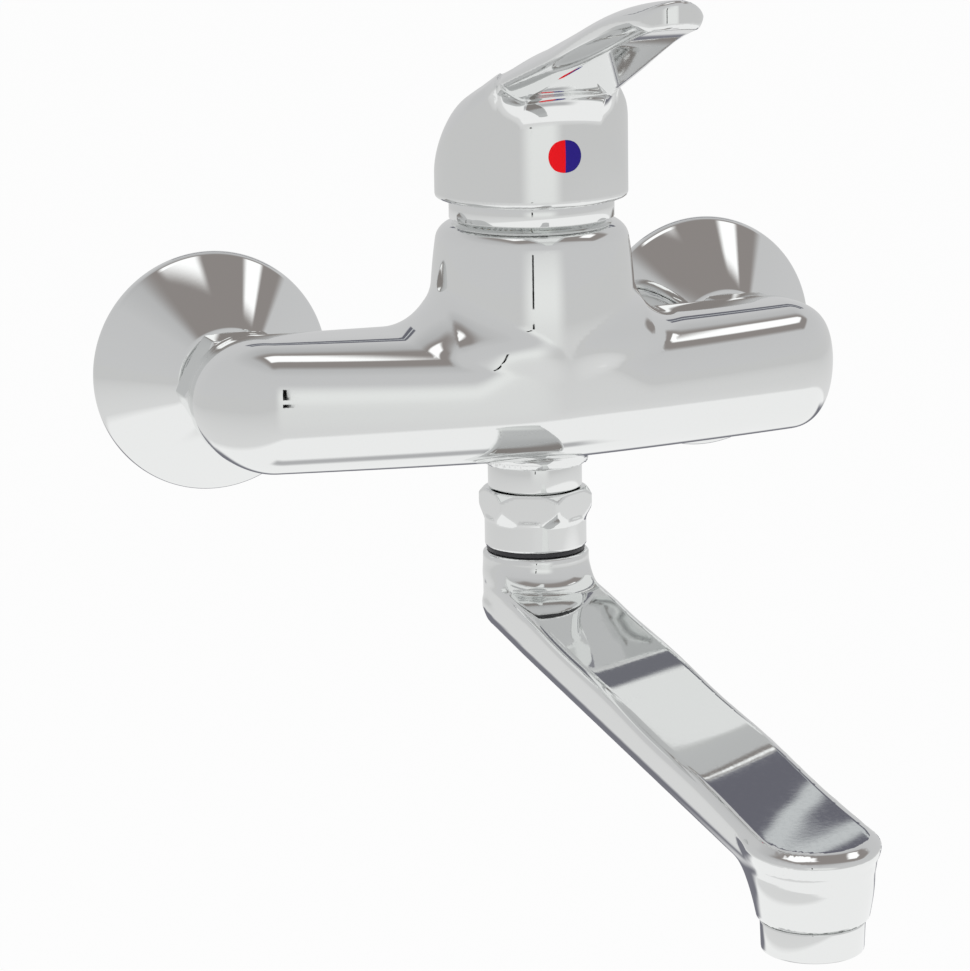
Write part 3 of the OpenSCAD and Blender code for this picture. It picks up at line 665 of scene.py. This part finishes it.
def comb_tree():
    """Six-sided cells on a staggered grid, kept inside a circle."""
    tree, group_in, group_out = rule_tree(
        "comb",
        [(size, "Float") for size in ("Radius", "Pitch", "Wall", "Depth")] + [("Material", "Material")],
    )
    given = group_in.outputs
    rows = 21
    grid = tree.nodes.new("GeometryNodeMeshGrid")
    grid.inputs["Vertices X"].default_value = rows
    grid.inputs["Vertices Y"].default_value = rows
    span = arithmetic(tree, "MULTIPLY", given["Pitch"], rows - 1)
    tree.links.new(arithmetic(tree, "MULTIPLY", span, math.sqrt(3) / 2), grid.inputs["Size X"])
    tree.links.new(span, grid.inputs["Size Y"])
    index = tree.nodes.new("GeometryNodeInputIndex")
    row = arithmetic(tree, "FLOOR", arithmetic(tree, "DIVIDE", index.outputs["Index"], rows))
    odd = arithmetic(tree, "MODULO", row, 2)
    step = arithmetic(tree, "MULTIPLY", arithmetic(tree, "MULTIPLY", odd, given["Pitch"]), 0.5)
    offset = tree.nodes.new("ShaderNodeCombineXYZ")
    tree.links.new(step, offset.inputs["Y"])
    stagger = tree.nodes.new("GeometryNodeSetPosition")
    tree.links.new(grid.outputs["Mesh"], stagger.inputs["Geometry"])
    tree.links.new(offset.outputs["Vector"], stagger.inputs["Offset"])
    place = tree.nodes.new("GeometryNodeInputPosition")
    reach = tree.nodes.new("ShaderNodeVectorMath")
    reach.operation = "LENGTH"
    tree.links.new(place.outputs["Position"], reach.inputs[0])
    outside = arithmetic(tree, "GREATER_THAN", reach.outputs["Value"], given["Radius"])
    crop = tree.nodes.new("GeometryNodeDeleteGeometry")
    crop.domain = "POINT"
    tree.links.new(stagger.outputs["Geometry"], crop.inputs["Geometry"])
    tree.links.new(outside, crop.inputs["Selection"])
    outline = tree.nodes.new("GeometryNodeCurvePrimitiveCircle")
    outline.inputs["Resolution"].default_value = 6
    tree.links.new(arithmetic(tree, "MULTIPLY", given["Pitch"], 1 / math.sqrt(3)), outline.inputs["Radius"])
    section = tree.nodes.new("GeometryNodeCurvePrimitiveQuadrilateral")
    tree.links.new(given["Wall"], section.inputs["Width"])
    tree.links.new(given["Depth"], section.inputs["Height"])
    cell = tree.nodes.new("GeometryNodeCurveToMesh")
    tree.links.new(outline.outputs["Curve"], cell.inputs["Curve"])
    tree.links.new(section.outputs["Curve"], cell.inputs["Profile Curve"])
    spread_out = tree.nodes.new("GeometryNodeInstanceOnPoints")
    tree.links.new(crop.outputs["Geometry"], spread_out.inputs["Points"])
    tree.links.new(cell.outputs["Mesh"], spread_out.inputs["Instance"])
    closing(tree, spread_out.outputs["Instances"], group_in, group_out)
    return tree


def grow(name, tree, values, place):
    """A plain mesh grown by a tree, then put in its place."""
    piece = link(name, bpy.data.meshes.new(name))
    modifier = piece.modifiers.new("grow", "NODES")
    modifier.node_group = tree
    for socket in tree.interface.items_tree:
        if socket.in_out == "INPUT":
            modifier[socket.identifier] = values[socket.name]
    seen = piece.evaluated_get(bpy.context.evaluated_depsgraph_get())
    mesh = bpy.data.meshes.new_from_object(seen)
    piece.modifiers.remove(modifier)
    piece.data = mesh
    mesh.transform(place)
    return piece


# Materials
NOISE_SPAN = (0.3, 0.7)
FINE_DETAIL = 4
BROAD_DETAIL = 1


def new_material(name):
    material = bpy.data.materials.new(name)
    material.use_nodes = True
    tree = material.node_tree
    return material, tree, tree.nodes["Principled BSDF"]


def noise(tree, scale, detail, coords):
    texture = tree.nodes.new("ShaderNodeTexNoise")
    texture.inputs["Scale"].default_value = scale
    texture.inputs["Detail"].default_value = detail
    tree.links.new(coords.outputs["Object"], texture.inputs["Vector"])
    return texture.outputs["Fac"]


def ramp(tree, source, span, levels, kind="LINEAR"):
    """Maps a span of values onto two levels."""
    node = tree.nodes.new("ShaderNodeMapRange")
    node.interpolation_type = kind
    for label, value in zip(("From Min", "From Max", "To Min", "To Max"), (*span, *levels)):
        node.inputs[label].default_value = value
    tree.links.new(source, node.inputs["Value"])
    return node.outputs["Result"]


def relief(tree, height, depth):
    """A bump of the given depth in metres."""
    node = tree.nodes.new("ShaderNodeBump")
    node.inputs["Distance"].default_value = depth
    node.inputs["Strength"].default_value = 1.0
    tree.links.new(height, node.inputs["Height"])
    return node


def finish(name, colour, metallic, rough, grain, bump, wave=None, sheen=0.5):
    """A finish whose roughness drifts between two values over fine grain, with a shallow relief."""
    material, tree, shader = new_material(name)
    coords = tree.nodes.new("ShaderNodeTexCoord")
    shader.inputs["Base Color"].default_value = (*colour, 1)
    shader.inputs["Metallic"].default_value = metallic
    shader.inputs["Specular IOR Level"].default_value = sheen
    fine = noise(tree, grain, FINE_DETAIL, coords)
    tree.links.new(ramp(tree, fine, NOISE_SPAN, rough), shader.inputs["Roughness"])
    surface = relief(tree, fine, bump)
    if wave:
        scale, depth = wave
        swell = relief(tree, noise(tree, scale, BROAD_DETAIL, coords), depth)
        tree.links.new(swell.outputs["Normal"], surface.inputs["Normal"])
    tree.links.new(surface.outputs["Normal"], shader.inputs["Normal"])
    return material


CHROME = (0.84, 0.85, 0.845)
cast_chrome = finish("cast_chrome", CHROME, 1.0, (0.02, 0.05), 900, 0.0000012, wave=(38, 0.00003))
turned_chrome = finish("turned_chrome", CHROME, 1.0, (0.02, 0.04), 1200, 0.0000008)
machined_brass = finish("machined_brass", (0.78, 0.58, 0.26), 1.0, (0.18, 0.34), 700, 0.000008)
seal_rubber = finish("seal_rubber", (0.03, 0.03, 0.032), 0.0, (0.55, 0.75), 900, 0.00002)
white_ceramic = finish("white_ceramic", (0.86, 0.86, 0.83), 0.0, (0.08, 0.14), 600, 0.000002)
white_plastic = finish("white_plastic", (0.84, 0.84, 0.81), 0.0, (0.3, 0.42), 1500, 0.00001)
black_plastic = finish("black_plastic", (0.025, 0.025, 0.028), 0.0, (0.3, 0.45), 1500, 0.00001)
screw_steel = finish("screw_steel", (0.3, 0.3, 0.32), 1.0, (0.25, 0.4), 900, 0.000006)
index_red = finish("index_red", (0.9, 0.008, 0.014), 0.0, (0.3, 0.4), 1200, 0.000003, sheen=0.08)
index_blue = finish("index_blue", (0.028, 0.016, 0.24), 0.0, (0.3, 0.4), 1200, 0.000003, sheen=0.08)


def dress(piece, material, body, slot, *nodes):
    """Gives a finished piece its material, its body and the CAD nodes that it stands for."""
    piece.data.materials.clear()
    piece.data.materials.append(material)
    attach(piece, body)
    if nodes:
        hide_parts(*nodes)


# Castings
BODY_STEP = 1.15
HANDLE_STEP = 0.8
SPOUT_STEP = 1.1
casting = cast("body_casting", body_field, body_low, body_high, BODY_STEP)
dress(casting, cast_chrome, "mixer_group", "chrome", "mixer_body")
casting = cast("handle_casting", handle_field, handle_low, handle_high, HANDLE_STEP)
dress(casting, cast_chrome, "lever_group", "chrome", "lever_handle")
socket_high = np.array((spout_high[0], spout_high[1], INLET_Z + SOCKET_TOP))
casting = cast("spout_casting", spout_field, spout_low, socket_high, SPOUT_STEP)
dress(casting, cast_chrome, "spout_group", "chrome", "spout")

# Nuts, in their places
UNION_NUT_STEP = 0.6
SPOUT_NUT_STEP = 0.5
for side, label in ((-1, "left"), (1, "right")):
    nut = cast(label + "_inlet_nut", union_nut_field, nut_low, nut_high, UNION_NUT_STEP, mirrored=side < 0)
    dress(nut, turned_chrome, "mixer_group", "chrome", label + "_union_nut")
nut = cast("swivel_nut", spout_nut_field, spout_nut_low, spout_nut_high, SPOUT_NUT_STEP)
dress(nut, turned_chrome, "mixer_group", "chrome", "spout_nut")

# Wall rosettes
HUB_R = 13.3
HUB_LIP = 1.6
HUB_DEPTH = 2
RIM_H = 2.4
RIM_T = 1.2
rosette_outline = eased([
    (ROSETTE_R - RIM_T, 0, 0.2), (ROSETTE_R, 0, 0.2), (ROSETTE_R, RIM_H, 1.6),
    (HUB_R + HUB_LIP, ROSETTE_DEPTH, 1.2), (HUB_R, ROSETTE_DEPTH, 0.3),
    (HUB_R, ROSETTE_DEPTH - HUB_DEPTH, 0.2),
])
for side, label in ((-1, "left"), (1, "right")):
    ring = turned(label + "_wall_rosette", rosette_outline, on_inlet(side), segments=256)
    dress(ring, turned_chrome, "mixer_group", "chrome", label + "_rosette")

# Collar: a short wall over a groove, and a dome that the handle slides around
COLLAR_R = 22.55
COLLAR_INNER_R = 18.7
COLLAR_NECK_R = 20.4
COLLAR_GROOVE = 0.9
COLLAR_EDGE = 0.2
DOME_R = 27.3
DOME_HOLE_R = 14.5
DOME_HOLE_H = 20.5
DOME_INNER_H = 14
dome_start = math.degrees(math.acos(COLLAR_R / DOME_R))
dome_end = math.degrees(math.acos(DOME_HOLE_R / DOME_R))
groove_top = TOWER_TOP + COLLAR_GROOVE
collar_outline = [
    (COLLAR_INNER_R, TOWER_TOP), (COLLAR_NECK_R, TOWER_TOP), (COLLAR_NECK_R, groove_top),
    (COLLAR_R - COLLAR_EDGE, groove_top), (COLLAR_R, groove_top + COLLAR_EDGE),
]
collar_outline += arc((0, PIVOT_H), DOME_R, dome_start, dome_end, steps=16)
collar_outline += [(DOME_HOLE_R, PIVOT_H + DOME_HOLE_H), (COLLAR_INNER_R, PIVOT_H + DOME_INNER_H)]
ring = turned("handle_collar", collar_outline, on_axis(), segments=256)
dress(ring, turned_chrome, "mixer_group", "chrome", "cover_collar")

# Outlet nipple
nipple_low, nipple_high = box_mm("spout_nipple")
NIPPLE_R = (nipple_high[0] - nipple_low[0]) / 2
NIPPLE_BORE_R = 7.0
NIPPLE_NECK_R = 10.4
NIPPLE_LAP = 6
NIPPLE_GAP = 0.3
NIPPLE_FOOT = SPOUT_NUT_TOP - NIPPLE_LAP
NIPPLE_STEP = SPOUT_NUT_TOP + NIPPLE_GAP
nipple_outline = eased([
    (NIPPLE_BORE_R, NIPPLE_FOOT, 0), (NIPPLE_NECK_R, NIPPLE_FOOT, 0), (NIPPLE_NECK_R, NIPPLE_STEP, 0),
    (NIPPLE_R, NIPPLE_STEP, 0.5), (NIPPLE_R, BODY_FOOT, 0.3), (NIPPLE_BORE_R, BODY_FOOT, 0),
])
ring = turned("outlet_nipple", nipple_outline, on_axis(), segments=192)
dress(ring, turned_chrome, "mixer_group", "chrome", "spout_nipple")

# Slide ring
SLIDE_R = (slide_high[0] - slide_low[0]) / 2
SLIDE_BORE_R = 8.7
slide_outline = eased([
    (SLIDE_BORE_R, SLIDE_FOOT, 0.2), (SLIDE_R, SLIDE_FOOT, 0.4),
    (SLIDE_R, SLIDE_TOP, 0.4), (SLIDE_BORE_R, SLIDE_TOP, 0.2),
])
ring = turned("swivel_slide_ring", slide_outline, on_axis())
dress(ring, black_plastic, "mixer_group", "black_plastic", "slide_ring")

# Aerator housing
AERATOR_R = (aerator_high[0] - aerator_low[0]) / 2
AERATOR_BORE_R = 9.6
AERATOR_DRAFT = 0.3
AERATOR_GAP = 0.25
AERATOR_LAP = 4
AERATOR_STEP = 1.0
AERATOR_NECK_R = AERATOR_R - AERATOR_STEP
AERATOR_RIM = OUTLET_FOOT - AERATOR_GAP
AERATOR_TOP = OUTLET_FOOT + AERATOR_LAP
aerator_outline = eased([
    (AERATOR_BORE_R, AERATOR_FOOT, 0.6), (AERATOR_R - AERATOR_DRAFT, AERATOR_FOOT, 0.9),
    (AERATOR_R, AERATOR_RIM, 0.4), (AERATOR_NECK_R, AERATOR_RIM, 0),
    (AERATOR_NECK_R, AERATOR_TOP, 0), (AERATOR_BORE_R, AERATOR_TOP, 0),
])
ring = turned("aerator_ring", aerator_outline, on_axis(SPOUT_REACH), segments=192)
dress(ring, turned_chrome, "spout_group", "chrome", "aerator_housing")

# Wall unions: an upper barrel, an offset stud and their threads
union_low, union_high = box_mm("right_s_union")
UNION_R = (union_high[0] - union_low[0]) / 2
UNION_BORE_R = 8.0
UNION_START = 4
UNION_END = -union_low[1]
UNION_THREAD_START = 7.0
STUD_R = 10.48
STUD_BORE_R = 7.0
STUD_NECK_R = 9.58
STUD_START = 1.0
STUD_ROOT = 12.0
STUD_END = -union_high[1]
STUD_THREAD = 13.0
THREAD_DEPTH = 0.55
THREAD_RUN_OUT = 1.0
PIPE_PITCH = 1.814
union_thread = UNION_END - UNION_THREAD_START - THREAD_RUN_OUT
winding = thread_tree()
for side, label in ((-1, "left"), (1, "right")):
    union_place = on_inlet(side)
    stud_place = Matrix.Translation((0, 0, -INLET_Z * MM)) @ union_place
    barrel = turned(label + "_union_barrel", eased([
        (UNION_BORE_R, UNION_START, 0), (UNION_R - THREAD_DEPTH, UNION_START, 0.8),
        (UNION_R - THREAD_DEPTH, UNION_END, 1.0), (UNION_BORE_R, UNION_END, 0.5),
    ]), union_place, segments=96)
    dress(barrel, turned_chrome, "mixer_group", "chrome", label + "_s_union")
    stud = turned(label + "_stud", eased([
        (STUD_BORE_R, STUD_END, 0.4), (STUD_R - THREAD_DEPTH, STUD_END, 1.0),
        (STUD_R - THREAD_DEPTH, -STUD_START, 0.2), (STUD_NECK_R, -STUD_START, 0.1),
        (STUD_NECK_R, STUD_ROOT, 0.5), (STUD_BORE_R, STUD_ROOT, 0),
    ]), stud_place, segments=96)
    dress(stud, turned_chrome, "mixer_group", "chrome", label + "_s_union")
    threads = (
        (label + "_union_thread", UNION_R, union_thread, UNION_THREAD_START, union_place),
        (label + "_stud_thread", STUD_R, STUD_THREAD, STUD_END + THREAD_RUN_OUT, stud_place),
    )
    for name, radius, length, start, place in threads:
        values = {
            "Radius": (radius - THREAD_DEPTH) * MM, "Length": length * MM, "Pitch": PIPE_PITCH * MM,
            "Depth": THREAD_DEPTH * MM, "Material": turned_chrome,
        }
        ridge = grow(name, winding, values, place @ Matrix.Translation((0, 0, start * MM)))
        dress(ridge, turned_chrome, "mixer_group", "chrome")

# Aerator insert: a rim, a plate behind and a comb of cells
INSERT_WALL = 0.9
COMB_R = AERATOR_BORE_R - INSERT_WALL
COMB_SINK = 1.2
COMB_DEPTH = 3.0
COMB_FOOT = AERATOR_FOOT + COMB_SINK
COMB_TOP = COMB_FOOT + COMB_DEPTH
CELL_PITCH = 1.5
CELL_WALL = 0.35
PLATE_HOLE_R = 0.05
insert_outline = eased([
    (COMB_R, COMB_FOOT, 0.3), (AERATOR_BORE_R, COMB_FOOT, 0.2), (AERATOR_BORE_R, AERATOR_TOP, 0),
    (PLATE_HOLE_R, AERATOR_TOP, 0), (PLATE_HOLE_R, COMB_TOP, 0), (COMB_R, COMB_TOP, 0),
])
rim = turned("aerator_rim", insert_outline, on_axis(SPOUT_REACH), segments=96)
dress(rim, white_plastic, "spout_group", "white_plastic", "aerator_insert")
comb_values = {
    "Radius": COMB_R * MM, "Pitch": CELL_PITCH * MM, "Wall": CELL_WALL * MM, "Depth": COMB_DEPTH * MM,
    "Material": white_plastic,
}
comb_middle = (COMB_FOOT + COMB_DEPTH / 2) * MM
comb_place = on_axis(SPOUT_REACH) @ Matrix.Translation((0, 0, comb_middle))
comb = grow("aerator_comb", comb_tree(), comb_values, comb_place)
dress(comb, white_plastic, "spout_group", "white_plastic", "aerator_insert")

# Index plug
index_low, index_high = box_mm("hot_index_half")
INDEX_Z = (index_low[2] + index_high[2]) / 2
INDEX_R = 4.6
INDEX_ROOT = 2
INDEX_PROUD = 0.45
INDEX_DOME = 0.35
INDEX_EDGE = 0.25
INDEX_EDGE_START = 0.9
SHARP_ANGLE = math.radians(40)
WELD = 1e-7


def index_half(name, side):
    """Half of a shallow domed disc, cut along its upright diameter."""
    rows = 10
    turns = 40
    points = []
    for i in range(turns + 1):
        a = math.pi * (i / turns - 0.5)
        across, up = side * INDEX_R * math.cos(a), INDEX_R * math.sin(a)
        for j in range(rows + 1):
            t = j / rows
            edge = max(0, t - INDEX_EDGE_START) / (1 - INDEX_EDGE_START)
            proud = INDEX_PROUD - INDEX_DOME * t**2 - INDEX_EDGE * edge
            points.append((across * t, AXIS_Y - SKIRT_R - proud, INDEX_Z + up * t))
        points.append((across, AXIS_Y - SKIRT_R + INDEX_ROOT, INDEX_Z + up))
    n = rows + 2
    faces = [
        (i * n + j, i * n + j + 1, (i + 1) * n + j + 1, (i + 1) * n + j)
        for i in range(turns)
        for j in range(n - 1)
    ]
    mesh = bpy.data.meshes.new(name)
    mesh.from_pydata([Vector(p) * MM for p in points], [], faces)
    solid = bmesh.new()
    solid.from_mesh(mesh)
    bmesh.ops.remove_doubles(solid, verts=solid.verts, dist=WELD)
    bmesh.ops.holes_fill(solid, edges=solid.edges)
    bmesh.ops.recalc_face_normals(solid, faces=solid.faces)
    solid.to_mesh(mesh)
    solid.free()
    mesh.shade_smooth()
    mesh.set_sharp_from_angle(angle=SHARP_ANGLE)
    return link(name, mesh)


dress(index_half("hot_index", -1), index_red, "lever_group", "index_red", "hot_index_half")
dress(index_half("cold_index", 1), index_blue, "lever_group", "index_blue", "cold_index_half")

# Inner pieces keep their solids and take a finish
inner_finish = {
    "brass": machined_brass,
    "rubber_seal": seal_rubber,
    "ceramic": white_ceramic,
    "white_plastic": white_plastic,
    "black_plastic": black_plastic,
    "screw_steel": screw_steel,
}
for part in frame["record"]["subparts"]:
    node = frame["nodes"][part["node"]]
    if part["material_slot"] in inner_finish and not node.hide_render:
        node.data.materials.clear()
        node.data.materials.append(inner_finish[part["material_slot"]])

# Studio: a light tent, a floor, and light and dark cards that only reflections show
CENTRE = Vector((0, -0.1, 0))
CARD_GAP = 0.02
DOWN = Vector((0, 0, -1))


def seen_by(tree, *kinds):
    """1 for the named kinds of ray."""
    path = tree.nodes.new("ShaderNodeLightPath")
    socket = path.outputs[kinds[0]]
    for kind in kinds[1:]:
        socket = arithmetic(tree, "MAXIMUM", socket, path.outputs[kind])
    return socket


def blend(tree, share, first, second):
    """A mix of two shaders by a number or a socket."""
    node = tree.nodes.new("ShaderNodeMixShader")
    if isinstance(share, float):
        node.inputs["Fac"].default_value = share
    else:
        tree.links.new(share, node.inputs["Fac"])
    tree.links.new(first, node.inputs[1])
    tree.links.new(second, node.inputs[2])
    return node.outputs["Shader"]


def rectangle(name, width, height):
    x, y = width / 2, height / 2
    mesh = bpy.data.meshes.new(name)
    mesh.from_pydata([(-x, -y, 0), (x, -y, 0), (x, y, 0), (-x, y, 0)], [], [(0, 1, 2, 3)])
    return mesh


def aim(piece, direction):
    """Turns a piece's own Z along a direction."""
    piece.rotation_mode = "QUATERNION"
    piece.rotation_quaternion = direction.to_track_quat("Z", "Y")


def glowing(name, colour, size, soft):
    """A card's material: a plain glow that fades out towards the card's edges."""
    material, tree, shader = new_material(name)
    tree.nodes.remove(shader)
    glow = tree.nodes.new("ShaderNodeEmission")
    glow.inputs["Color"].default_value = (*colour, 1)
    clear = tree.nodes.new("ShaderNodeBsdfTransparent")
    coords = tree.nodes.new("ShaderNodeTexCoord")
    parts = tree.nodes.new("ShaderNodeSeparateXYZ")
    tree.links.new(coords.outputs["Object"], parts.inputs["Vector"])
    shares = []
    for axis, length in zip("XY", size):
        far = arithmetic(tree, "ABSOLUTE", parts.outputs[axis])
        shares.append(ramp(tree, far, (length / 2 - soft, length / 2), (1, 0), "SMOOTHSTEP"))
    share = arithmetic(tree, "MULTIPLY", *shares)
    faded = blend(tree, share, clear.outputs["BSDF"], glow.outputs["Emission"])
    tree.links.new(faded, tree.nodes["Material Output"].inputs["Surface"])
    return material


def card(name, centre, facing, size, colour, soft):
    """A flat card that faces a point and shows in reflections only."""
    mesh = rectangle(name, *size)
    mesh.materials.append(glowing(name, colour, size, soft))
    piece = link(name, mesh)
    piece.location = centre
    aim(piece, facing - centre)
    piece.visible_camera = False
    piece.visible_shadow = False
    piece.visible_diffuse = False


def ring_place(azimuth, elevation, distance):
    """A place around the tap; azimuth 0 is behind it, 90 on its right."""
    a, e = math.radians(azimuth), math.radians(elevation)
    return CENTRE + Vector((math.sin(a) * math.cos(e), math.cos(a) * math.cos(e), math.sin(e))) * distance


# Floor
FLOOR_Z = -0.42
FLOOR_WIDTH = 40.0
FLOOR_MIDDLE = Vector((0.45, -0.2, FLOOR_Z))
FLOOR_REACH = 1.15
FLOOR_EDGE = 0.06
FLOOR_FAR = 3.2
FLOOR_NEAR_LEVEL = 0.97
FLOOR_FAR_LEVELS = (0.78, 0.64)
FLOOR_GLOW = 0.95


def floor_material():
    """Pale to the camera with the object's shadow left in; to mirrors a white patch on a greyer field."""
    material, tree, shader = new_material("floor")
    shader.inputs["Base Color"].default_value = (1, 1, 1, 1)
    shader.inputs["Roughness"].default_value = 0.9
    shader.inputs["Specular IOR Level"].default_value = 0.0
    coords = tree.nodes.new("ShaderNodeTexCoord")
    reach = tree.nodes.new("ShaderNodeVectorMath")
    reach.operation = "LENGTH"
    tree.links.new(coords.outputs["Object"], reach.inputs[0])
    distance = reach.outputs["Value"]
    edge = ramp(tree, distance, (FLOOR_REACH - FLOOR_EDGE, FLOOR_REACH + FLOOR_EDGE), (0, 1))
    far = ramp(tree, distance, (FLOOR_REACH, FLOOR_FAR), FLOOR_FAR_LEVELS)
    level = tree.nodes.new("ShaderNodeMix")
    level.inputs["A"].default_value = FLOOR_NEAR_LEVEL
    tree.links.new(edge, level.inputs["Factor"])
    tree.links.new(far, level.inputs["B"])
    mirrored = tree.nodes.new("ShaderNodeEmission")
    tree.links.new(level.outputs["Result"], mirrored.inputs["Strength"])
    plain = tree.nodes.new("ShaderNodeEmission")
    lit = blend(tree, FLOOR_GLOW, shader.outputs["BSDF"], plain.outputs["Emission"])
    by_camera = blend(tree, seen_by(tree, "Is Camera Ray"), shader.outputs["BSDF"], lit)
    mirrors = seen_by(tree, "Is Glossy Ray", "Is Transmission Ray")
    by_mirror = blend(tree, mirrors, by_camera, mirrored.outputs["Emission"])
    tree.links.new(by_mirror, tree.nodes["Material Output"].inputs["Surface"])
    return material


floor_mesh = rectangle("floor", FLOOR_WIDTH, FLOOR_WIDTH)
floor_mesh.materials.append(floor_material())
floor = link("floor", floor_mesh)
floor.location = FLOOR_MIDDLE

# Ceiling: a grey card with two bright boxes just under it
CEILING_Z = 1.4
SOFTBOX_Y = -0.085
SOFTBOX_DEPTH = 0.68
SOFTBOX_WHITE = (1.2, 1.2, 1.2)
ceiling = Vector((0.65, -0.25, CEILING_Z))
card("ceiling", ceiling, ceiling + DOWN, size=(3.4, 1.9), colour=(0.30, 0.275, 0.265), soft=0.45)
for side, middle_x, width in (("left", -0.2, 0.75), ("right", 1.1, 0.55)):
    box = Vector((middle_x, SOFTBOX_Y, CEILING_Z - CARD_GAP))
    card(f"{side}_softbox", box, box + DOWN, size=(width, SOFTBOX_DEPTH), colour=SOFTBOX_WHITE, soft=0.14)

# Slits: two upright black strips in front, which the chrome shows as thin dark lines
SLIT_X, SLIT_Y = -0.307, -0.938
SLIT_BLACK = (0.004, 0.004, 0.004)
for name, low_z, high_z, width in (("lower_slit", -0.12, -0.083, 0.037), ("upper_slit", -0.03, 0.17, 0.033)):
    slit = Vector((SLIT_X, SLIT_Y, (low_z + high_z) / 2))
    tower_place = Vector((0, AXIS_Y * MM, (low_z + high_z) / 2))
    card(name, slit, tower_place, size=(width, high_z - low_z), colour=SLIT_BLACK, soft=0.002)

# Cards around the tap and on the floor
camera_light = Vector((-0.15, -1.2, 0.0))
card("camera_light", camera_light, CENTRE, size=(1.2, 0.8), colour=(0.88, 0.89, 0.88), soft=0.39)
card("rear_dark", ring_place(22, 28, 1.8), CENTRE, size=(1.3, 0.34), colour=(0.15, 0.15, 0.18), soft=0.05)
card("rear_light", ring_place(22, 28.2, 1.7), CENTRE, size=(1.3, 0.06), colour=(0.6, 0.62, 0.63), soft=0.02)
behind = Vector((0.3, 0.75, FLOOR_Z + CARD_GAP))
card("behind_dark", behind, behind - DOWN, size=(1.4, 0.9), colour=(0.2, 0.2, 0.23), soft=0.2)
# A grey card right under the tap, seen only in reflections: a painted shadow of the tap on the floor
under = Vector((0.0, -0.15, FLOOR_Z + CARD_GAP))
card("under_painted_shadow", under, under - DOWN, size=(0.5, 0.22), colour=(0.5, 0.5, 0.51), soft=0.09)

# Lamp: it lights the floor and the matt pieces, and mirrors don't show it
LAMP_WATTS = 9
LAMP_SIZE = 0.8
LAMP_PLACE = Vector((-0.7, -1.6, 0.8))
lamp_data = bpy.data.lights.new("front_lamp", "AREA")
lamp_data.energy = LAMP_WATTS
lamp_data.size = LAMP_SIZE
lamp = link("front_lamp", lamp_data)
lamp.location = LAMP_PLACE
aim(lamp, LAMP_PLACE - CENTRE)
lamp.visible_glossy = False

# Tent: the level of its walls at each elevation in degrees, and plain white to the camera. The darker level
# straight down is painted shade of the tap's own shadow.
TENT = ((-90, 0.66), (-55, 0.8), (-8, 0.68), (-3, 0.64), (35, 0.62), (60, 0.5), (90, 0.5))
TENT_BLUE = 1.01
world = bpy.data.worlds.new("studio")
bpy.context.scene.world = world
world.use_nodes = True
tent = world.node_tree
direction = tent.nodes.new("ShaderNodeTexCoord")
parts = tent.nodes.new("ShaderNodeSeparateXYZ")
tent.links.new(direction.outputs["Generated"], parts.inputs["Vector"])
rise = arithmetic(tent, "ARCSINE", parts.outputs["Z"])
bands = tent.nodes.new("ShaderNodeValToRGB")
tent.links.new(ramp(tent, rise, (-math.pi / 2, math.pi / 2), (0, 1)), bands.inputs["Fac"])
stops = bands.color_ramp.elements
for i, (elevation, level) in enumerate(TENT):
    stop = stops[i] if i < 2 else stops.new(1.0)
    stop.position = (elevation + 90) / 180
    stop.color = (level, level, level * TENT_BLUE, 1)
white = tent.nodes.new("ShaderNodeMix")
white.data_type = "RGBA"
tent.links.new(seen_by(tent, "Is Camera Ray"), white.inputs["Factor"])
tent.links.new(bands.outputs["Color"], white.inputs["A"])
white.inputs["B"].default_value = (1, 1, 1, 1)
tent.links.new(white.outputs["Result"], tent.nodes["Background"].inputs["Color"])
tent.nodes["Background"].inputs["Strength"].default_value = 1.0

# Camera, fitted to both rosettes, the collar and the spout nut
CAMERA_PLACE = Vector((-351.9, -1022.6, 204.3 + INLET_Z)) * MM
CAMERA_RIGHT = Vector((0.9424, -0.3343, -0.0151)).normalized()
CAMERA_LOOK = Vector((0.3229, 0.9203, -0.2207)).normalized()
FOCAL_PIXELS = 3796.9
PHOTO_HEIGHT = 971
SENSOR_WIDTH = 36
camera_up = CAMERA_RIGHT.cross(CAMERA_LOOK).normalized()
camera_right = CAMERA_LOOK.cross(camera_up).normalized()
camera_data = bpy.data.cameras.new("camera")
camera_data.sensor_width = SENSOR_WIDTH
camera_data.lens = FOCAL_PIXELS / PHOTO_HEIGHT * SENSOR_WIDTH
camera = link("camera", camera_data)
camera_turn = Matrix((camera_right, camera_up, -CAMERA_LOOK)).transposed()
camera.matrix_world = Matrix.Translation(CAMERA_PLACE) @ camera_turn.to_4x4()
bpy.context.scene.camera = camera
bpy.context.scene.view_settings.view_transform = "Standard"
